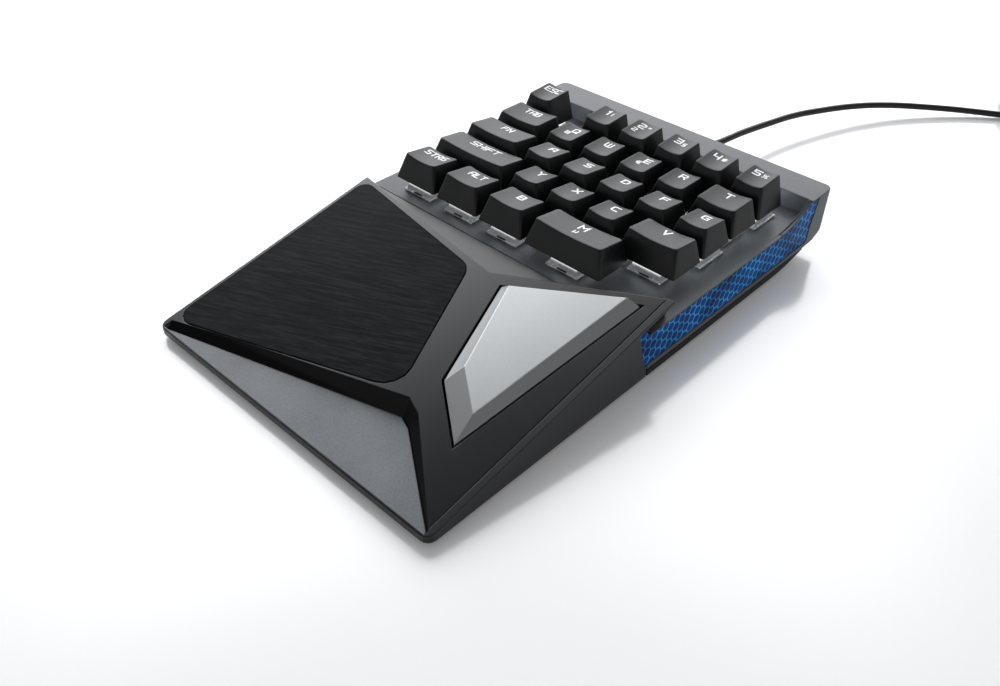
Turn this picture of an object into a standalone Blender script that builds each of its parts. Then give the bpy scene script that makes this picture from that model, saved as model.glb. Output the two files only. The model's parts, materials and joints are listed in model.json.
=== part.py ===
"""One-handed mechanical keypad with a palm rest, a thumb bar and its lead.

Metres, +Z up. The origin is on the desk under the middle of the body, without
the lead. +X is to the user's right and +Y points away from the user.
"""

import math

import bmesh
import bpy
from mathutils import Matrix, Vector

MM = 0.001

# Body
BODY_WIDTH = 145.7 * MM
BODY_LENGTH = 231.0 * MM
FOOT_HEIGHT = 2.0 * MM
CASE_HEIGHT = 19.5 * MM
BORDER_HEIGHT = 6.6 * MM
BORDER_TOP_DEPTH = 16.3 * MM
BORDER_WALL_RUN = 1.0 * MM
DECK_LENGTH = 107.2 * MM
DECK_THICKNESS = 1.5 * MM
SIDE_WALL = 3.5 * MM
BACK_WALL = 2.0 * MM
BORDER_ROOF = 2.2 * MM
CORNER_RADIUS = 3.5 * MM
CLEARANCE = 0.3 * MM
OVERRUN = 5.0 * MM
CORNER_STEPS = 4

DESK_Z = 0.0
CASE_Z = FOOT_HEIGHT
DECK_Z = CASE_Z + CASE_HEIGHT
LEFT = -BODY_WIDTH / 2
RIGHT = BODY_WIDTH / 2
FRONT = -BODY_LENGTH / 2
BACK = BODY_LENGTH / 2
BORDER_Z = DECK_Z + BORDER_HEIGHT
BORDER_FRONT = BACK - BORDER_TOP_DEPTH
DECK_BACK = BORDER_FRONT - BORDER_WALL_RUN
DECK_FRONT = DECK_BACK - DECK_LENGTH

# Outer frame, seen from the side: depths below the deck and setbacks from the back
SKIRT_DEPTH = 16.2 * MM
BACK_SETBACK = 2.3 * MM
BACK_CHAMFER_TOP_DEPTH = 13.0 * MM
BACK_CHAMFER_LOW_DEPTH = 15.8 * MM
BACK_CHAMFER_RUN = 6.0 * MM
BACK_FLOOR_RUN = 18.0 * MM
BACK_FLOOR_WALL = 2.2 * MM
CHEEK_WIDTH = 2.2 * MM
CHEEK_LENGTH = 22.4 * MM
CHEEK_RUN_SHARES = ((0.0, -0.08), (0.27, 0.05), (0.54, 0.22), (0.71, 0.39), (0.86, 0.66), (1.0, 1.0))

# Keys: their field fills the deck between its margins, and both pitches come out at the
# usual spacing of full-size mechanical switches. Sizes across a switch or a cap are
# given at that spacing, and PITCH_RATIO fits them to another
STANDARD_PITCH = 19.05 * MM
STANDARD_SWITCH = 13.7 * MM
GRID_LEFT_MARGIN = 9.0 * MM
GRID_BACK_MARGIN = 8.2 * MM
GRID_FRONT_MARGIN = 3.75 * MM
SWITCH_SIDE_MARGIN = 10.7875 * MM
LAST_SWITCH_SHARE = 6.25
KEY_ROWS = 5
FIELD_SHARE = LAST_SWITCH_SHARE + STANDARD_SWITCH / STANDARD_PITCH / 2
KEY_PITCH = (BODY_WIDTH - GRID_LEFT_MARGIN - SWITCH_SIDE_MARGIN) / FIELD_SHARE
ROW_PITCH = (DECK_LENGTH - GRID_BACK_MARGIN - GRID_FRONT_MARGIN) / KEY_ROWS
PITCH_RATIO = min(KEY_PITCH, ROW_PITCH) / STANDARD_PITCH
CAP_GAP = 1.35 * MM
CAP_SIDE_DRAFT = 2.8 * MM * PITCH_RATIO
CAP_DECK_GAP = 1.5 * MM
CAP_WALL = 1.3 * MM
CAP_CEILING_GAP = 0.7 * MM
CAP_DISH_DEPTH = 0.9 * MM
CAP_DISH_CUTS = 3
KEY_TRAVEL = 4.0 * MM
STEM_WIDTH = 7.0 * MM * PITCH_RATIO
STEM_DEPTH = 5.4 * MM * PITCH_RATIO
STEM_REACH = 3.5 * MM
STEM_OVERLAP = 0.6 * MM
STEM_CLEARANCE = 0.2 * MM
STEM_FOOT_GAP = 1.7 * MM

# Row number: the top's depth and its shift to the back in shares of the row pitch, and
# its front and back edge's height in shares of the tallest cap
CAP_HEIGHT = 18.71 * MM
CAP_TOP_SHARES = {
    1: (0.7365, 0.0630, 0.9594, 1.0),
    2: (0.7281, 0.0709, 0.8300, 0.8263),
    3: (0.7171, 0.0646, 0.8792, 0.7830),
    4: (0.7087, 0.0887, 0.8616, 0.7664),
    5: (0.7150, 0.0735, 0.8669, 0.7723),
}

# Each key's start and width in shares of the pitch, row by row from the back
KEY_ROW_SHARES = {
    1: (
        ("esc", 0.0, 1.0), ("1", 1.75, 1.0), ("2", 2.75, 1.0),
        ("3", 3.75, 1.0), ("4", 4.75, 1.0), ("5", 5.75, 1.0),
    ),
    2: (
        ("tab", 0.0, 1.5), ("q", 1.5, 1.0), ("w", 2.5, 1.0),
        ("e", 3.5, 1.0), ("r", 4.5, 1.0), ("t", 5.5, 1.25),
    ),
    3: (
        ("fn", 0.0, 1.75), ("a", 1.75, 1.0), ("s", 2.75, 1.0),
        ("d", 3.75, 1.0), ("f", 4.75, 1.0), ("g", 5.75, 1.0),
    ),
    4: (("shift", 0.0, 2.25), ("y", 2.25, 1.0), ("x", 3.25, 1.0), ("c", 4.25, 1.0), ("v", 5.25, 1.5)),
    5: (("ctrl", 0.0, 1.25), ("alt", 1.25, 1.25), ("b", 2.5, 1.25), ("m", 3.75, 2.0)),
}

# Switch housings
SWITCH_BODY = STANDARD_SWITCH * PITCH_RATIO
SWITCH_HOLE = SWITCH_BODY + CLEARANCE
SWITCH_FLANGE_LAP = 0.7 * MM
SWITCH_FLANGE = SWITCH_HOLE + SWITCH_FLANGE_LAP * 2
SWITCH_FLANGE_THICKNESS = 0.7 * MM
SWITCH_TOP_WIDTH = 10.6 * MM * PITCH_RATIO
SWITCH_TOP_HEIGHT = 6.6 * MM
BOARD_DEPTH = 5.0 * MM
BOARD_THICKNESS = 1.6 * MM
BOARD_SIDE_MARGIN = 0.5 * MM
RAIL_WIDTH = 4.0 * MM
RAIL_HEIGHT = 2.2 * MM

# Side light windows and the lamps behind them
WINDOW_THICKNESS = 1.2 * MM
WINDOW_RECESS = 0.3 * MM
LAMP_WIDTH = 0.8 * MM
LAMP_HEIGHT = 2.4 * MM
LAMP_LENGTH = 88.0 * MM
WINDOW_LENGTH = 119.7 * MM
WINDOW_HEIGHT = 19.7 * MM
WINDOW_FRONT_REACH = 6.7 * MM
WINDOW_FOOT_DEPTH = 13.8 * MM
WINDOW_SHARES = (
    (0.0426, 0.0), (0.9649, 0.0), (0.9749, 0.06), (0.9782, 0.3655), (1.0, 0.995),
    (0.9482, 0.995), (0.9265, 0.89), (0.8964, 0.805), (0.8663, 0.755), (0.8246, 0.71),
    (0.7661, 0.67), (0.0518, 0.67), (0.0267, 0.848), (0.0, 0.828),
)

# Palm rest
PALM_WALL = 2.5 * MM
PALM_ROOF = 2.3 * MM
PALM_BACK_HEIGHT = 5.07 * MM
PALM_FRONT_HEIGHT = 3.1 * MM
RIM_WIDTH = 0.9 * MM
FACET_BREAK_HEIGHT = 2.1 * MM
TIP_REACH_SHARE = 0.1127
TIP_SIDE_INSET = 2.7 * MM
TIP_NOTCH_SHARE = 0.1362
TIP_NOTCH_ROOF = 1.1 * MM
RIDGE_LEFT_SHARE = 0.969
RIDGE_BREAK_SHARES = (0.5669, 0.8601)
RIDGE_FOOT_SHARE = 0.7962
RIDGE_TIP_SHARES = (0.9808, 1.108)

# Palm pad, a thin brushed plate set into the rest
PAD_THICKNESS = 1.0 * MM
PAD_PROUD = 0.3 * MM
PAD_SHARES = ((0.0124, 0.0479), (0.6603, 0.3160), (0.5079, 0.8385), (0.0124, 0.9455))
PAD_RADII = (6.0 * MM, 9.0 * MM, 8.0 * MM, 4.0 * MM)

# Front panel and the recess it lies in
PANEL_DEPTH_AT_RIM = 1.2 * MM
PANEL_RISE = 1.4 * MM
PANEL_RISE_RUN = 24.6 * MM
RECESS_TOP_SHARES = (
    (0.0144, 0.0085), (0.9856, 0.0085), (0.9856, 0.0235),
    (0.7481, 0.2873), (0.6973, 0.3136), (0.0144, 0.0423),
)
RECESS_FOOT_SHARES = (
    (0.0206, 0.0085), (0.9801, 0.0085), (0.9801, 0.0225),
    (0.7378, 0.2582), (0.7001, 0.2789), (0.0206, 0.0169),
)
RECESS_FLARE_SHARE = 0.5

# Thumb bar
BAR_HEIGHT = 3.0 * MM
BAR_BELOW = 1.6 * MM
BAR_GAP = 0.8 * MM
BAR_TRAVEL = 3.0 * MM
BAR_BASE_SHARES = ((0.6259, 0.8319), (0.7268, 0.4254), (0.8744, 0.2714), (0.9430, 1.0291))
BAR_TOP_SHARES = ((0.6541, 0.8338), (0.7495, 0.4920), (0.8627, 0.3737), (0.9142, 1.0169))
THUMB_SWITCH_SHARES = (0.7893, 0.6432)
THUMB_SWITCH_WIDTH = 14.0 * MM
THUMB_SWITCH_GAP = 0.4 * MM
THUMB_SWITCH_HEIGHT = 5.4 * MM
THUMB_STEM_WIDTH = 6.0 * MM
THUMB_STEM_REACH = 1.3 * MM
THUMB_BORE_GAP = 0.2 * MM
THUMB_BOARD_THICKNESS = 1.0 * MM
THUMB_BOARD_WIDTH = 34.0 * MM
THUMB_BOARD_DEPTH = 15.0 * MM
THUMB_POST_SPAN = 24.0 * MM
THUMB_POST_RADIUS = 2.0 * MM

# Bottom case, feet and screws
FLOOR_THICKNESS = 1.2 * MM
CASE_RIM_WIDTH = 3.0 * MM
CASE_RIM_BACK_RUN = 20.0 * MM
CASE_FLOOR_FRONT = 2.1 * MM
CASE_SWEEP_SHARES = ((1.0, 0.0), (0.87, 0.2), (0.425, 0.77), (0.135, 0.96), (0.0, 0.98))
FOOT_RADIUS = 5.0 * MM
FOOT_INSET = 12.0 * MM
FOOT_SEGMENTS = 16
POST_RADIUS = 2.8 * MM
BOSS_RADIUS = 3.4 * MM
BOSS_HEIGHT = 1.5 * MM
SCREW_INSET = 6.5 * MM
SCREW_HEAD_RADIUS = 2.2 * MM
SCREW_HEAD_HEIGHT = 1.0 * MM
SCREW_RECESS_DEPTH = 1.5 * MM
SCREW_SHANK_RADIUS = 1.25 * MM
SCREW_LENGTH = 7.0 * MM
SCREW_CLEARANCE = 0.2 * MM
SCREW_REST_SHARE = 0.8676
SCREW_TRAY_SHARE = 0.6736
ROUND_SEGMENTS = 12
ROUND_SHARP_ANGLE = math.radians(40.0)

# Lead: strain relief, free run, coil and plug
CORD_DIAMETER = 3.2 * MM
CORD_EXIT_HEIGHT = 12.0 * MM
RELIEF_LENGTH = 9.0 * MM
RELIEF_BASE_RADIUS = 3.0 * MM
RELIEF_TIP_RADIUS = 2.2 * MM
RELIEF_FLANGE_RADIUS = 3.6 * MM
RELIEF_FLANGE_THICKNESS = 1.4 * MM
RELIEF_SEGMENTS = 16
CORD_SIDES_RESOLUTION = 2
COIL_SIDES_RESOLUTION = 1
CORD_POINT_GAP = 6.4 * MM
CORD_ROUTE = (
    (0.4 * MM, 138.0 * MM, 11.8 * MM),
    (1.6 * MM, 146.0 * MM, 11.6 * MM),
    (2.9 * MM, 160.0 * MM, 11.2 * MM),
    (4.5 * MM, 171.0 * MM, 10.7 * MM),
    (6.5 * MM, 182.0 * MM, 10.3 * MM),
    (8.5 * MM, 193.2 * MM, 9.8 * MM),
    (11.2 * MM, 204.0 * MM, 9.2 * MM),
    (15.7 * MM, 216.5 * MM, 8.4 * MM),
    (20.7 * MM, 228.8 * MM, 7.6 * MM),
    (28.0 * MM, 242.8 * MM, 6.6 * MM),
    (37.0 * MM, 255.8 * MM, 5.4 * MM),
    (48.0 * MM, 267.8 * MM, 4.2 * MM),
    (60.0 * MM, 278.8 * MM, 3.2 * MM),
    (73.0 * MM, 288.8 * MM, 2.3 * MM),
    (86.0 * MM, 297.0 * MM, 1.8 * MM),
)
COIL_ENTRY = (104.0 * MM, 306.4 * MM, 1.8 * MM)
COIL_HEADING_DEGREES = 27.0
COIL_OUTER_RADIUS = 24.6 * MM
COIL_SPIRAL_STEP = 4.2 * MM
COIL_LAYER_STEP = 3.9 * MM
COIL_LAYERS = 4
COIL_TURNS_PER_LAYER = 3.125
COIL_CLIMB_TURNS = 0.5
COIL_POINTS_PER_TURN = 24
COIL_LEAST_GAP = 0.4 * MM
TAIL_LENGTH = 52.0 * MM
TAIL_POINTS = 16
PLUG_BODY_SIZE = (24.0 * MM, 15.0 * MM, 8.0 * MM)
PLUG_SHELL_SIZE = (13.5 * MM, 12.0 * MM, 4.5 * MM)
PLUG_SHELL_WALL = 0.6 * MM
PLUG_SHELL_MOUTH = 9.0 * MM
PLUG_NECK_LENGTH = 4.0 * MM

# Collections and materials
for old in list(bpy.data.objects):
    bpy.data.objects.remove(old, do_unlink=True)

PARTS = bpy.data.collections.new("one_handed_keypad")
CUTTERS = bpy.data.collections.new("cutters")
bpy.context.scene.collection.children.link(PARTS)
bpy.context.scene.collection.children.link(CUTTERS)
CUTTERS.hide_render = True


def make_material(name, color, roughness, metallic):
    material = bpy.data.materials.new(name)
    material.use_nodes = True
    shader = material.node_tree.nodes["Principled BSDF"]
    shader.inputs["Base Color"].default_value = (*color, 1.0)
    shader.inputs["Roughness"].default_value = roughness
    shader.inputs["Metallic"].default_value = metallic
    return material


CAP_PLASTIC = make_material("keycap_plastic", (0.055, 0.058, 0.062), 0.42, 0.0)
SWITCH_PLASTIC = make_material("switch_plastic", (0.62, 0.64, 0.66), 0.3, 0.0)
FRAME_METAL = make_material("frame_metal", (0.16, 0.165, 0.175), 0.38, 0.8)
BOARD_LAMINATE = make_material("board_laminate", (0.02, 0.03, 0.03), 0.5, 0.0)
CASE_PLASTIC = make_material("case_plastic", (0.02, 0.02, 0.022), 0.5, 0.0)
PALM_PLASTIC = make_material("palm_plastic", (0.05, 0.052, 0.055), 0.4, 0.2)
PAD_PLATE = make_material("pad_plate", (0.012, 0.012, 0.013), 0.35, 0.6)
PANEL_METAL = make_material("panel_metal", (0.13, 0.133, 0.138), 0.45, 0.6)
BAR_METAL = make_material("bar_metal", (0.55, 0.555, 0.56), 0.35, 0.8)
WINDOW_ACRYLIC = make_material("window_acrylic", (0.01, 0.06, 0.24), 0.25, 0.0)
LAMP_RESIN = make_material("lamp_resin", (0.6, 0.7, 0.8), 0.4, 0.0)
FOOT_RUBBER = make_material("foot_rubber", (0.02, 0.02, 0.02), 0.85, 0.0)
SCREW_STEEL = make_material("screw_steel", (0.35, 0.35, 0.36), 0.35, 1.0)
CORD_RUBBER = make_material("cord_rubber", (0.015, 0.015, 0.016), 0.5, 0.0)
SHELL_STEEL = make_material("shell_steel", (0.6, 0.6, 0.62), 0.3, 1.0)


# Modelling helpers
def add_object(name, mesh, material):
    """Links a mesh as a part where it has a material, and as a cutter where it has none."""
    thing = bpy.data.objects.new(name, mesh)
    if material is None:
        CUTTERS.objects.link(thing)
        thing.hide_render = True
        thing.display_type = "WIRE"
    else:
        PARTS.objects.link(thing)
        mesh.materials.append(material)
    return thing


def finish_mesh(name, bm, material):
    bmesh.ops.recalc_face_normals(bm, faces=bm.faces[:])
    mesh = bpy.data.meshes.new(name)
    bm.to_mesh(mesh)
    bm.free()
    return add_object(name, mesh, material)


def box_mesh(low, high):
    bm = bmesh.new()
    bmesh.ops.create_cube(bm, size=2.0)
    middle = (Vector(low) + Vector(high)) / 2
    half = (Vector(high) - Vector(low)) / 2
    for vert in bm.verts:
        vert.co = Vector(m + s * h for m, s, h in zip(middle, vert.co, half))
    return bm


def box(name, low, high, material=None):
    return finish_mesh(name, box_mesh(low, high), material)


def trim(bm, point, normal):
    """Cuts away what lies on the normal's side of a plane and closes the cut."""
    geometry = bm.verts[:] + bm.edges[:] + bm.faces[:]
    made = bmesh.ops.bisect_plane(bm, geom=geometry, plane_co=point, plane_no=normal, clear_outer=True)
    edges = [item for item in made["geom_cut"] if isinstance(item, bmesh.types.BMEdge)]
    if edges:
        bmesh.ops.contextual_create(bm, geom=edges)


def loft(name, sections, material=None):
    """A closed solid through outlines that have the same number of points."""
    bm = bmesh.new()
    rings = [[bm.verts.new(point) for point in section] for section in sections]
    bm.faces.new(rings[0])
    bm.faces.new(rings[-1])
    for low, high in zip(rings, rings[1:]):
        for i, vert in enumerate(low):
            following = (i + 1) % len(low)
            bm.faces.new((vert, low[following], high[following], high[i]))
    return finish_mesh(name, bm, material)


def rectangle(x_low, x_high, y_low, y_high, z):
    return ((x_low, y_low, z), (x_high, y_low, z), (x_high, y_high, z), (x_low, y_high, z))


def square(x, y, width, z):
    return rectangle(x - width / 2, x + width / 2, y - width / 2, y + width / 2, z)


def curve_to_mesh(name, curve, material, matrix):
    """Turns a curve object into a mesh with its caps welded and takes the curve away."""
    holder = bpy.data.objects.new(name + "_curve", curve)
    PARTS.objects.link(holder)
    holder.matrix_world = matrix
    bpy.context.view_layer.update()
    graph = bpy.context.evaluated_depsgraph_get()
    mesh = bpy.data.meshes.new_from_object(holder.evaluated_get(graph))
    mesh.name = name
    bm = bmesh.new()
    bm.from_mesh(mesh)
    bmesh.ops.remove_doubles(bm, verts=bm.verts[:], dist=0.001 * MM)
    bmesh.ops.recalc_face_normals(bm, faces=bm.faces[:])
    bm.to_mesh(mesh)
    bm.free()
    mesh.materials.clear()
    thing = add_object(name, mesh, material)
    thing.matrix_world = matrix
    bpy.data.objects.remove(holder)
    return thing


def outline_solid(name, points, thickness, material=None, matrix=None):
    """A flat outline, given half its thickness to each side of its plane."""
    curve = bpy.data.curves.new(name, "CURVE")
    curve.dimensions = "2D"
    curve.fill_mode = "BOTH"
    curve.extrude = thickness / 2
    spline = curve.splines.new("POLY")
    spline.points.add(len(points) - 1)
    for target, (a, b) in zip(spline.points, points):
        target.co = (a, b, 0.0, 1.0)
    spline.use_cyclic_u = True
    return curve_to_mesh(name, curve, material, matrix or Matrix.Identity(4))


def side_profile(name, points, x_low, x_high, material=None):
    """An outline of (y, z) points, drawn out along X."""
    turn = Matrix(((0, 0, 1, 0), (1, 0, 0, 0), (0, 1, 0, 0), (0, 0, 0, 1)))
    matrix = Matrix.Translation(((x_low + x_high) / 2, 0.0, 0.0)) @ turn
    return outline_solid(name, points, x_high - x_low, material, matrix)


def plan_outline(name, points, z_low, z_high, material=None):
    matrix = Matrix.Translation((0.0, 0.0, (z_low + z_high) / 2))
    return outline_solid(name, points, z_high - z_low, material, matrix)


def turned(name, profile, segments, material=None, matrix=None):
    """A profile of (radius, height) points turned about its own Z, shaded smooth around it."""
    outline = bpy.data.meshes.new(name + "_profile")
    points = [(radius, 0.0, height) for radius, height in profile]
    outline.from_pydata(points, [(i, i + 1) for i in range(len(points) - 1)], [])
    holder = bpy.data.objects.new(name + "_profile", outline)
    PARTS.objects.link(holder)
    screw = holder.modifiers.new("turn", "SCREW")
    screw.axis = "Z"
    screw.steps = segments
    screw.render_steps = segments
    screw.use_merge_vertices = True
    screw.merge_threshold = 0.01 * MM
    graph = bpy.context.evaluated_depsgraph_get()
    mesh = bpy.data.meshes.new_from_object(holder.evaluated_get(graph))
    mesh.name = name
    mesh.shade_smooth()
    mesh.set_sharp_from_angle(angle=ROUND_SHARP_ANGLE)
    thing = add_object(name, mesh, material)
    thing.matrix_world = matrix or Matrix.Identity(4)
    bpy.data.objects.remove(holder)
    return thing


def cylinder(name, x, y, z_low, z_high, radius, material=None):
    profile = ((0.0, z_high), (radius, z_high), (radius, z_low), (0.0, z_low))
    return turned(name, profile, ROUND_SEGMENTS, material, Matrix.Translation((x, y, 0.0)))


def combine(target, other, operation):
    modifier = target.modifiers.new(operation.lower(), "BOOLEAN")
    modifier.object = other
    modifier.operation = operation
    modifier.solver = "EXACT"


def cut(target, *others):
    for other in others:
        combine(target, other, "DIFFERENCE")


def join(target, *others):
    for other in others:
        combine(target, other, "UNION")


def rounded(points, radii):
    """The outline with each corner replaced by an arc of its own radius."""
    result = []
    count = len(points)
    for i, (point, radius) in enumerate(zip(points, radii)):
        here = Vector(point)
        before = (Vector(points[i - 1]) - here).normalized()
        after = (Vector(points[(i + 1) % count]) - here).normalized()
        half_angle = before.angle(after) / 2
        centre = here + (before + after).normalized() * (radius / math.sin(half_angle))
        start = here + before * (radius / math.tan(half_angle)) - centre
        end = here + after * (radius / math.tan(half_angle)) - centre
        sweep = start.angle_signed(end)
        for step in range(CORNER_STEPS + 1):
            arm = start.copy()
            arm.rotate(Matrix.Rotation(-sweep * step / CORNER_STEPS, 2))
            result.append(tuple(centre + arm))
    return result


def grown(points, distance):
    """A counterclockwise outline with every edge moved outwards by one distance."""
    moved = []
    count = len(points)
    for i in range(count):
        a, b, c = (Vector(points[(i + k) % count]) for k in (-1, 0, 1))
        first = (b - a).normalized()
        second = (c - b).normalized()
        normal_one = Vector((first.y, -first.x))
        normal_two = Vector((second.y, -second.x))
        bisector = (normal_one + normal_two).normalized()
        moved.append(tuple(b + bisector * (distance / bisector.dot(normal_one))))
    return moved


def mirrored_pair(name, build):
    """The right-hand piece and its mirror image on the left."""
    right = build(name + "_right", 1)
    left = build(name + "_left", -1)
    return right, left


# The palm rest's plan is given in shares of the body's width and the rest's length
PALM_LENGTH = DECK_FRONT - FRONT
PALM_RUN = PALM_LENGTH - RIM_WIDTH
PALM_TOP_Z = DECK_Z + PALM_BACK_HEIGHT
PALM_LOW_Z = CASE_Z + PALM_FRONT_HEIGHT
PALM_SLOPE = (PALM_TOP_Z - PALM_LOW_Z) / PALM_RUN
PALM_TILT = math.atan(PALM_SLOPE)
PALM_NORMAL = Vector((0.0, -math.sin(PALM_TILT), math.cos(PALM_TILT)))


def palm_plan(shares):
    return (LEFT + shares[0] * BODY_WIDTH, FRONT + shares[1] * PALM_LENGTH)


def palm_z(y):
    return PALM_TOP_Z + (y - DECK_FRONT) * PALM_SLOPE


def on_palm(plan, height=0.0):
    return Vector((plan[0], plan[1], palm_z(plan[1]))) + PALM_NORMAL * height


def palm_matrix(height):
    """The palm plane's own frame, its origin at the middle of the deck's front edge."""
    place = on_palm((0.0, DECK_FRONT), height)
    return Matrix.Translation(place) @ Matrix.Rotation(PALM_TILT, 4, "X")


def palm_local(plan):
    return (plan[0], (plan[1] - DECK_FRONT) / math.cos(PALM_TILT))


# Top frame: deck, raised back border and side skirts
CAVITY_BACK = BACK - BACK_SETBACK - BACK_WALL
BACK_FLOOR_FRONT = BACK - BACK_FLOOR_RUN
SKIRT_Z = DECK_Z - SKIRT_DEPTH
frame_profile = (
    (DECK_FRONT, SKIRT_Z),
    (BACK_FLOOR_FRONT, SKIRT_Z),
    (BACK - BACK_SETBACK - BACK_CHAMFER_RUN, DECK_Z - BACK_CHAMFER_LOW_DEPTH),
    (BACK - BACK_SETBACK, DECK_Z - BACK_CHAMFER_TOP_DEPTH),
    (BACK, BORDER_Z),
    (BORDER_FRONT, BORDER_Z),
    (DECK_BACK, DECK_Z),
    (DECK_FRONT, DECK_Z),
)
top_frame = side_profile("top_frame", frame_profile, LEFT - OVERRUN, RIGHT + OVERRUN, FRAME_METAL)


def cheek_profile():
    points = [
        (BORDER_FRONT - CHEEK_LENGTH * (1 - run), DECK_Z + BORDER_HEIGHT * rise)
        for run, rise in CHEEK_RUN_SHARES
    ]
    back = BORDER_FRONT + BORDER_WALL_RUN
    return [*points, (back, BORDER_Z), (back, points[0][1])]


# The plan outline trims the frame and its cheeks to the body's width
for side, name in ((1, "cheek_right"), (-1, "cheek_left")):
    outer = side * (RIGHT + OVERRUN / 2)
    inner = side * (RIGHT - CHEEK_WIDTH)
    join(top_frame, side_profile(name, cheek_profile(), min(outer, inner), max(outer, inner)))

plan = ((LEFT, DECK_FRONT - OVERRUN), (RIGHT, DECK_FRONT - OVERRUN), (RIGHT, BACK), (LEFT, BACK))
plan_radii = (CLEARANCE, CLEARANCE, CORNER_RADIUS, CORNER_RADIUS)
frame_plan = plan_outline("frame_plan", rounded(plan, plan_radii), DESK_Z - OVERRUN, BORDER_Z + OVERRUN)
combine(top_frame, frame_plan, "INTERSECT")

cavity_profile = (
    (DECK_FRONT - OVERRUN, SKIRT_Z - OVERRUN),
    (BACK_FLOOR_FRONT, SKIRT_Z - OVERRUN),
    (BACK_FLOOR_FRONT, SKIRT_Z + BACK_FLOOR_WALL),
    (CAVITY_BACK - BACK_CHAMFER_RUN, SKIRT_Z + BACK_FLOOR_WALL),
    (CAVITY_BACK, DECK_Z - BACK_CHAMFER_TOP_DEPTH + BACK_FLOOR_WALL),
    (CAVITY_BACK + BACK_SETBACK / 2, BORDER_Z - BORDER_ROOF),
    (BORDER_FRONT + BACK_WALL, BORDER_Z - BORDER_ROOF),
    (DECK_BACK + BACK_WALL, DECK_Z - DECK_THICKNESS),
    (DECK_FRONT - OVERRUN, DECK_Z - DECK_THICKNESS),
)
cut(top_frame, side_profile("frame_cavity", cavity_profile, LEFT + SIDE_WALL, RIGHT - SIDE_WALL))

# Keys and switch housings
GRID_LEFT = LEFT + GRID_LEFT_MARGIN
GRID_BACK = DECK_BACK - GRID_BACK_MARGIN
BOARD_TOP = DECK_Z - BOARD_DEPTH
HOUSING_FOOT = BOARD_TOP + CLEARANCE
CAP_SKIRT_HEIGHT = KEY_TRAVEL + CAP_DECK_GAP
CAP_CEILING_HEIGHT = SWITCH_TOP_HEIGHT + KEY_TRAVEL + CAP_CEILING_GAP
CAP_SKIRT_Z = DECK_Z + CAP_SKIRT_HEIGHT
CAP_CEILING_Z = DECK_Z + CAP_CEILING_HEIGHT
STEM_FOOT_Z = CAP_SKIRT_Z - STEM_REACH
BORE_FLOOR_Z = STEM_FOOT_Z - KEY_TRAVEL - STEM_FOOT_GAP


def make_cap(name, x_low, x_high, y_low, y_high, row):
    depth_share, shift_share, front_share, back_share = CAP_TOP_SHARES[row]
    top_depth, shift = depth_share * ROW_PITCH, shift_share * ROW_PITCH
    front_height, back_height = front_share * CAP_HEIGHT, back_share * CAP_HEIGHT
    x_middle = (x_low + x_high) / 2
    y_middle = (y_low + y_high) / 2
    base_width = x_high - x_low - CAP_GAP
    base_depth = y_high - y_low - CAP_GAP
    top_width = base_width - CAP_SIDE_DRAFT * 2

    bm = bmesh.new()
    bmesh.ops.create_cube(bm, size=2.0)
    across = [edge for edge in bm.edges if edge.verts[0].co.x * edge.verts[1].co.x < 0]
    bmesh.ops.subdivide_edges(bm, edges=across, cuts=CAP_DISH_CUTS, use_grid_fill=True)
    for vert in bm.verts:
        sx, sy, sz = vert.co
        if sz < 0:
            vert.co = (x_middle + sx * base_width / 2, y_middle + sy * base_depth / 2, CAP_SKIRT_Z)
        else:
            height = front_height + (back_height - front_height) * (1 + sy) / 2
            dish = CAP_DISH_DEPTH * (1 - sx * sx)
            x = x_middle + sx * top_width / 2
            y = y_middle + shift + sy * top_depth / 2
            vert.co = (x, y, DECK_Z + height - dish)
    cap = finish_mesh("key_" + name, bm, CAP_PLASTIC)

    rise_share = CAP_CEILING_HEIGHT - CAP_SKIRT_HEIGHT
    rise_share /= min(front_height, back_height) - CAP_SKIRT_HEIGHT
    inner_width = base_width - CAP_WALL * 2
    inner_depth = base_depth - CAP_WALL * 2
    ceiling_width = inner_width - (base_width - top_width) * rise_share
    ceiling_depth = inner_depth - (base_depth - top_depth) * rise_share
    ceiling_y = y_middle + shift * rise_share
    hollow = loft(
        "hollow_" + name,
        (
            rectangle(
                x_middle - inner_width / 2, x_middle + inner_width / 2,
                y_middle - inner_depth / 2, y_middle + inner_depth / 2, CAP_SKIRT_Z - OVERRUN,
            ),
            rectangle(
                x_middle - inner_width / 2, x_middle + inner_width / 2,
                y_middle - inner_depth / 2, y_middle + inner_depth / 2, CAP_SKIRT_Z,
            ),
            rectangle(
                x_middle - ceiling_width / 2, x_middle + ceiling_width / 2,
                ceiling_y - ceiling_depth / 2, ceiling_y + ceiling_depth / 2, CAP_CEILING_Z,
            ),
        ),
    )
    stem = box(
        "stem_" + name,
        (x_middle - STEM_WIDTH / 2, y_middle - STEM_DEPTH / 2, STEM_FOOT_Z),
        (x_middle + STEM_WIDTH / 2, y_middle + STEM_DEPTH / 2, CAP_CEILING_Z + STEM_OVERLAP),
    )
    cut(cap, hollow)
    join(cap, stem)
    return cap


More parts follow.
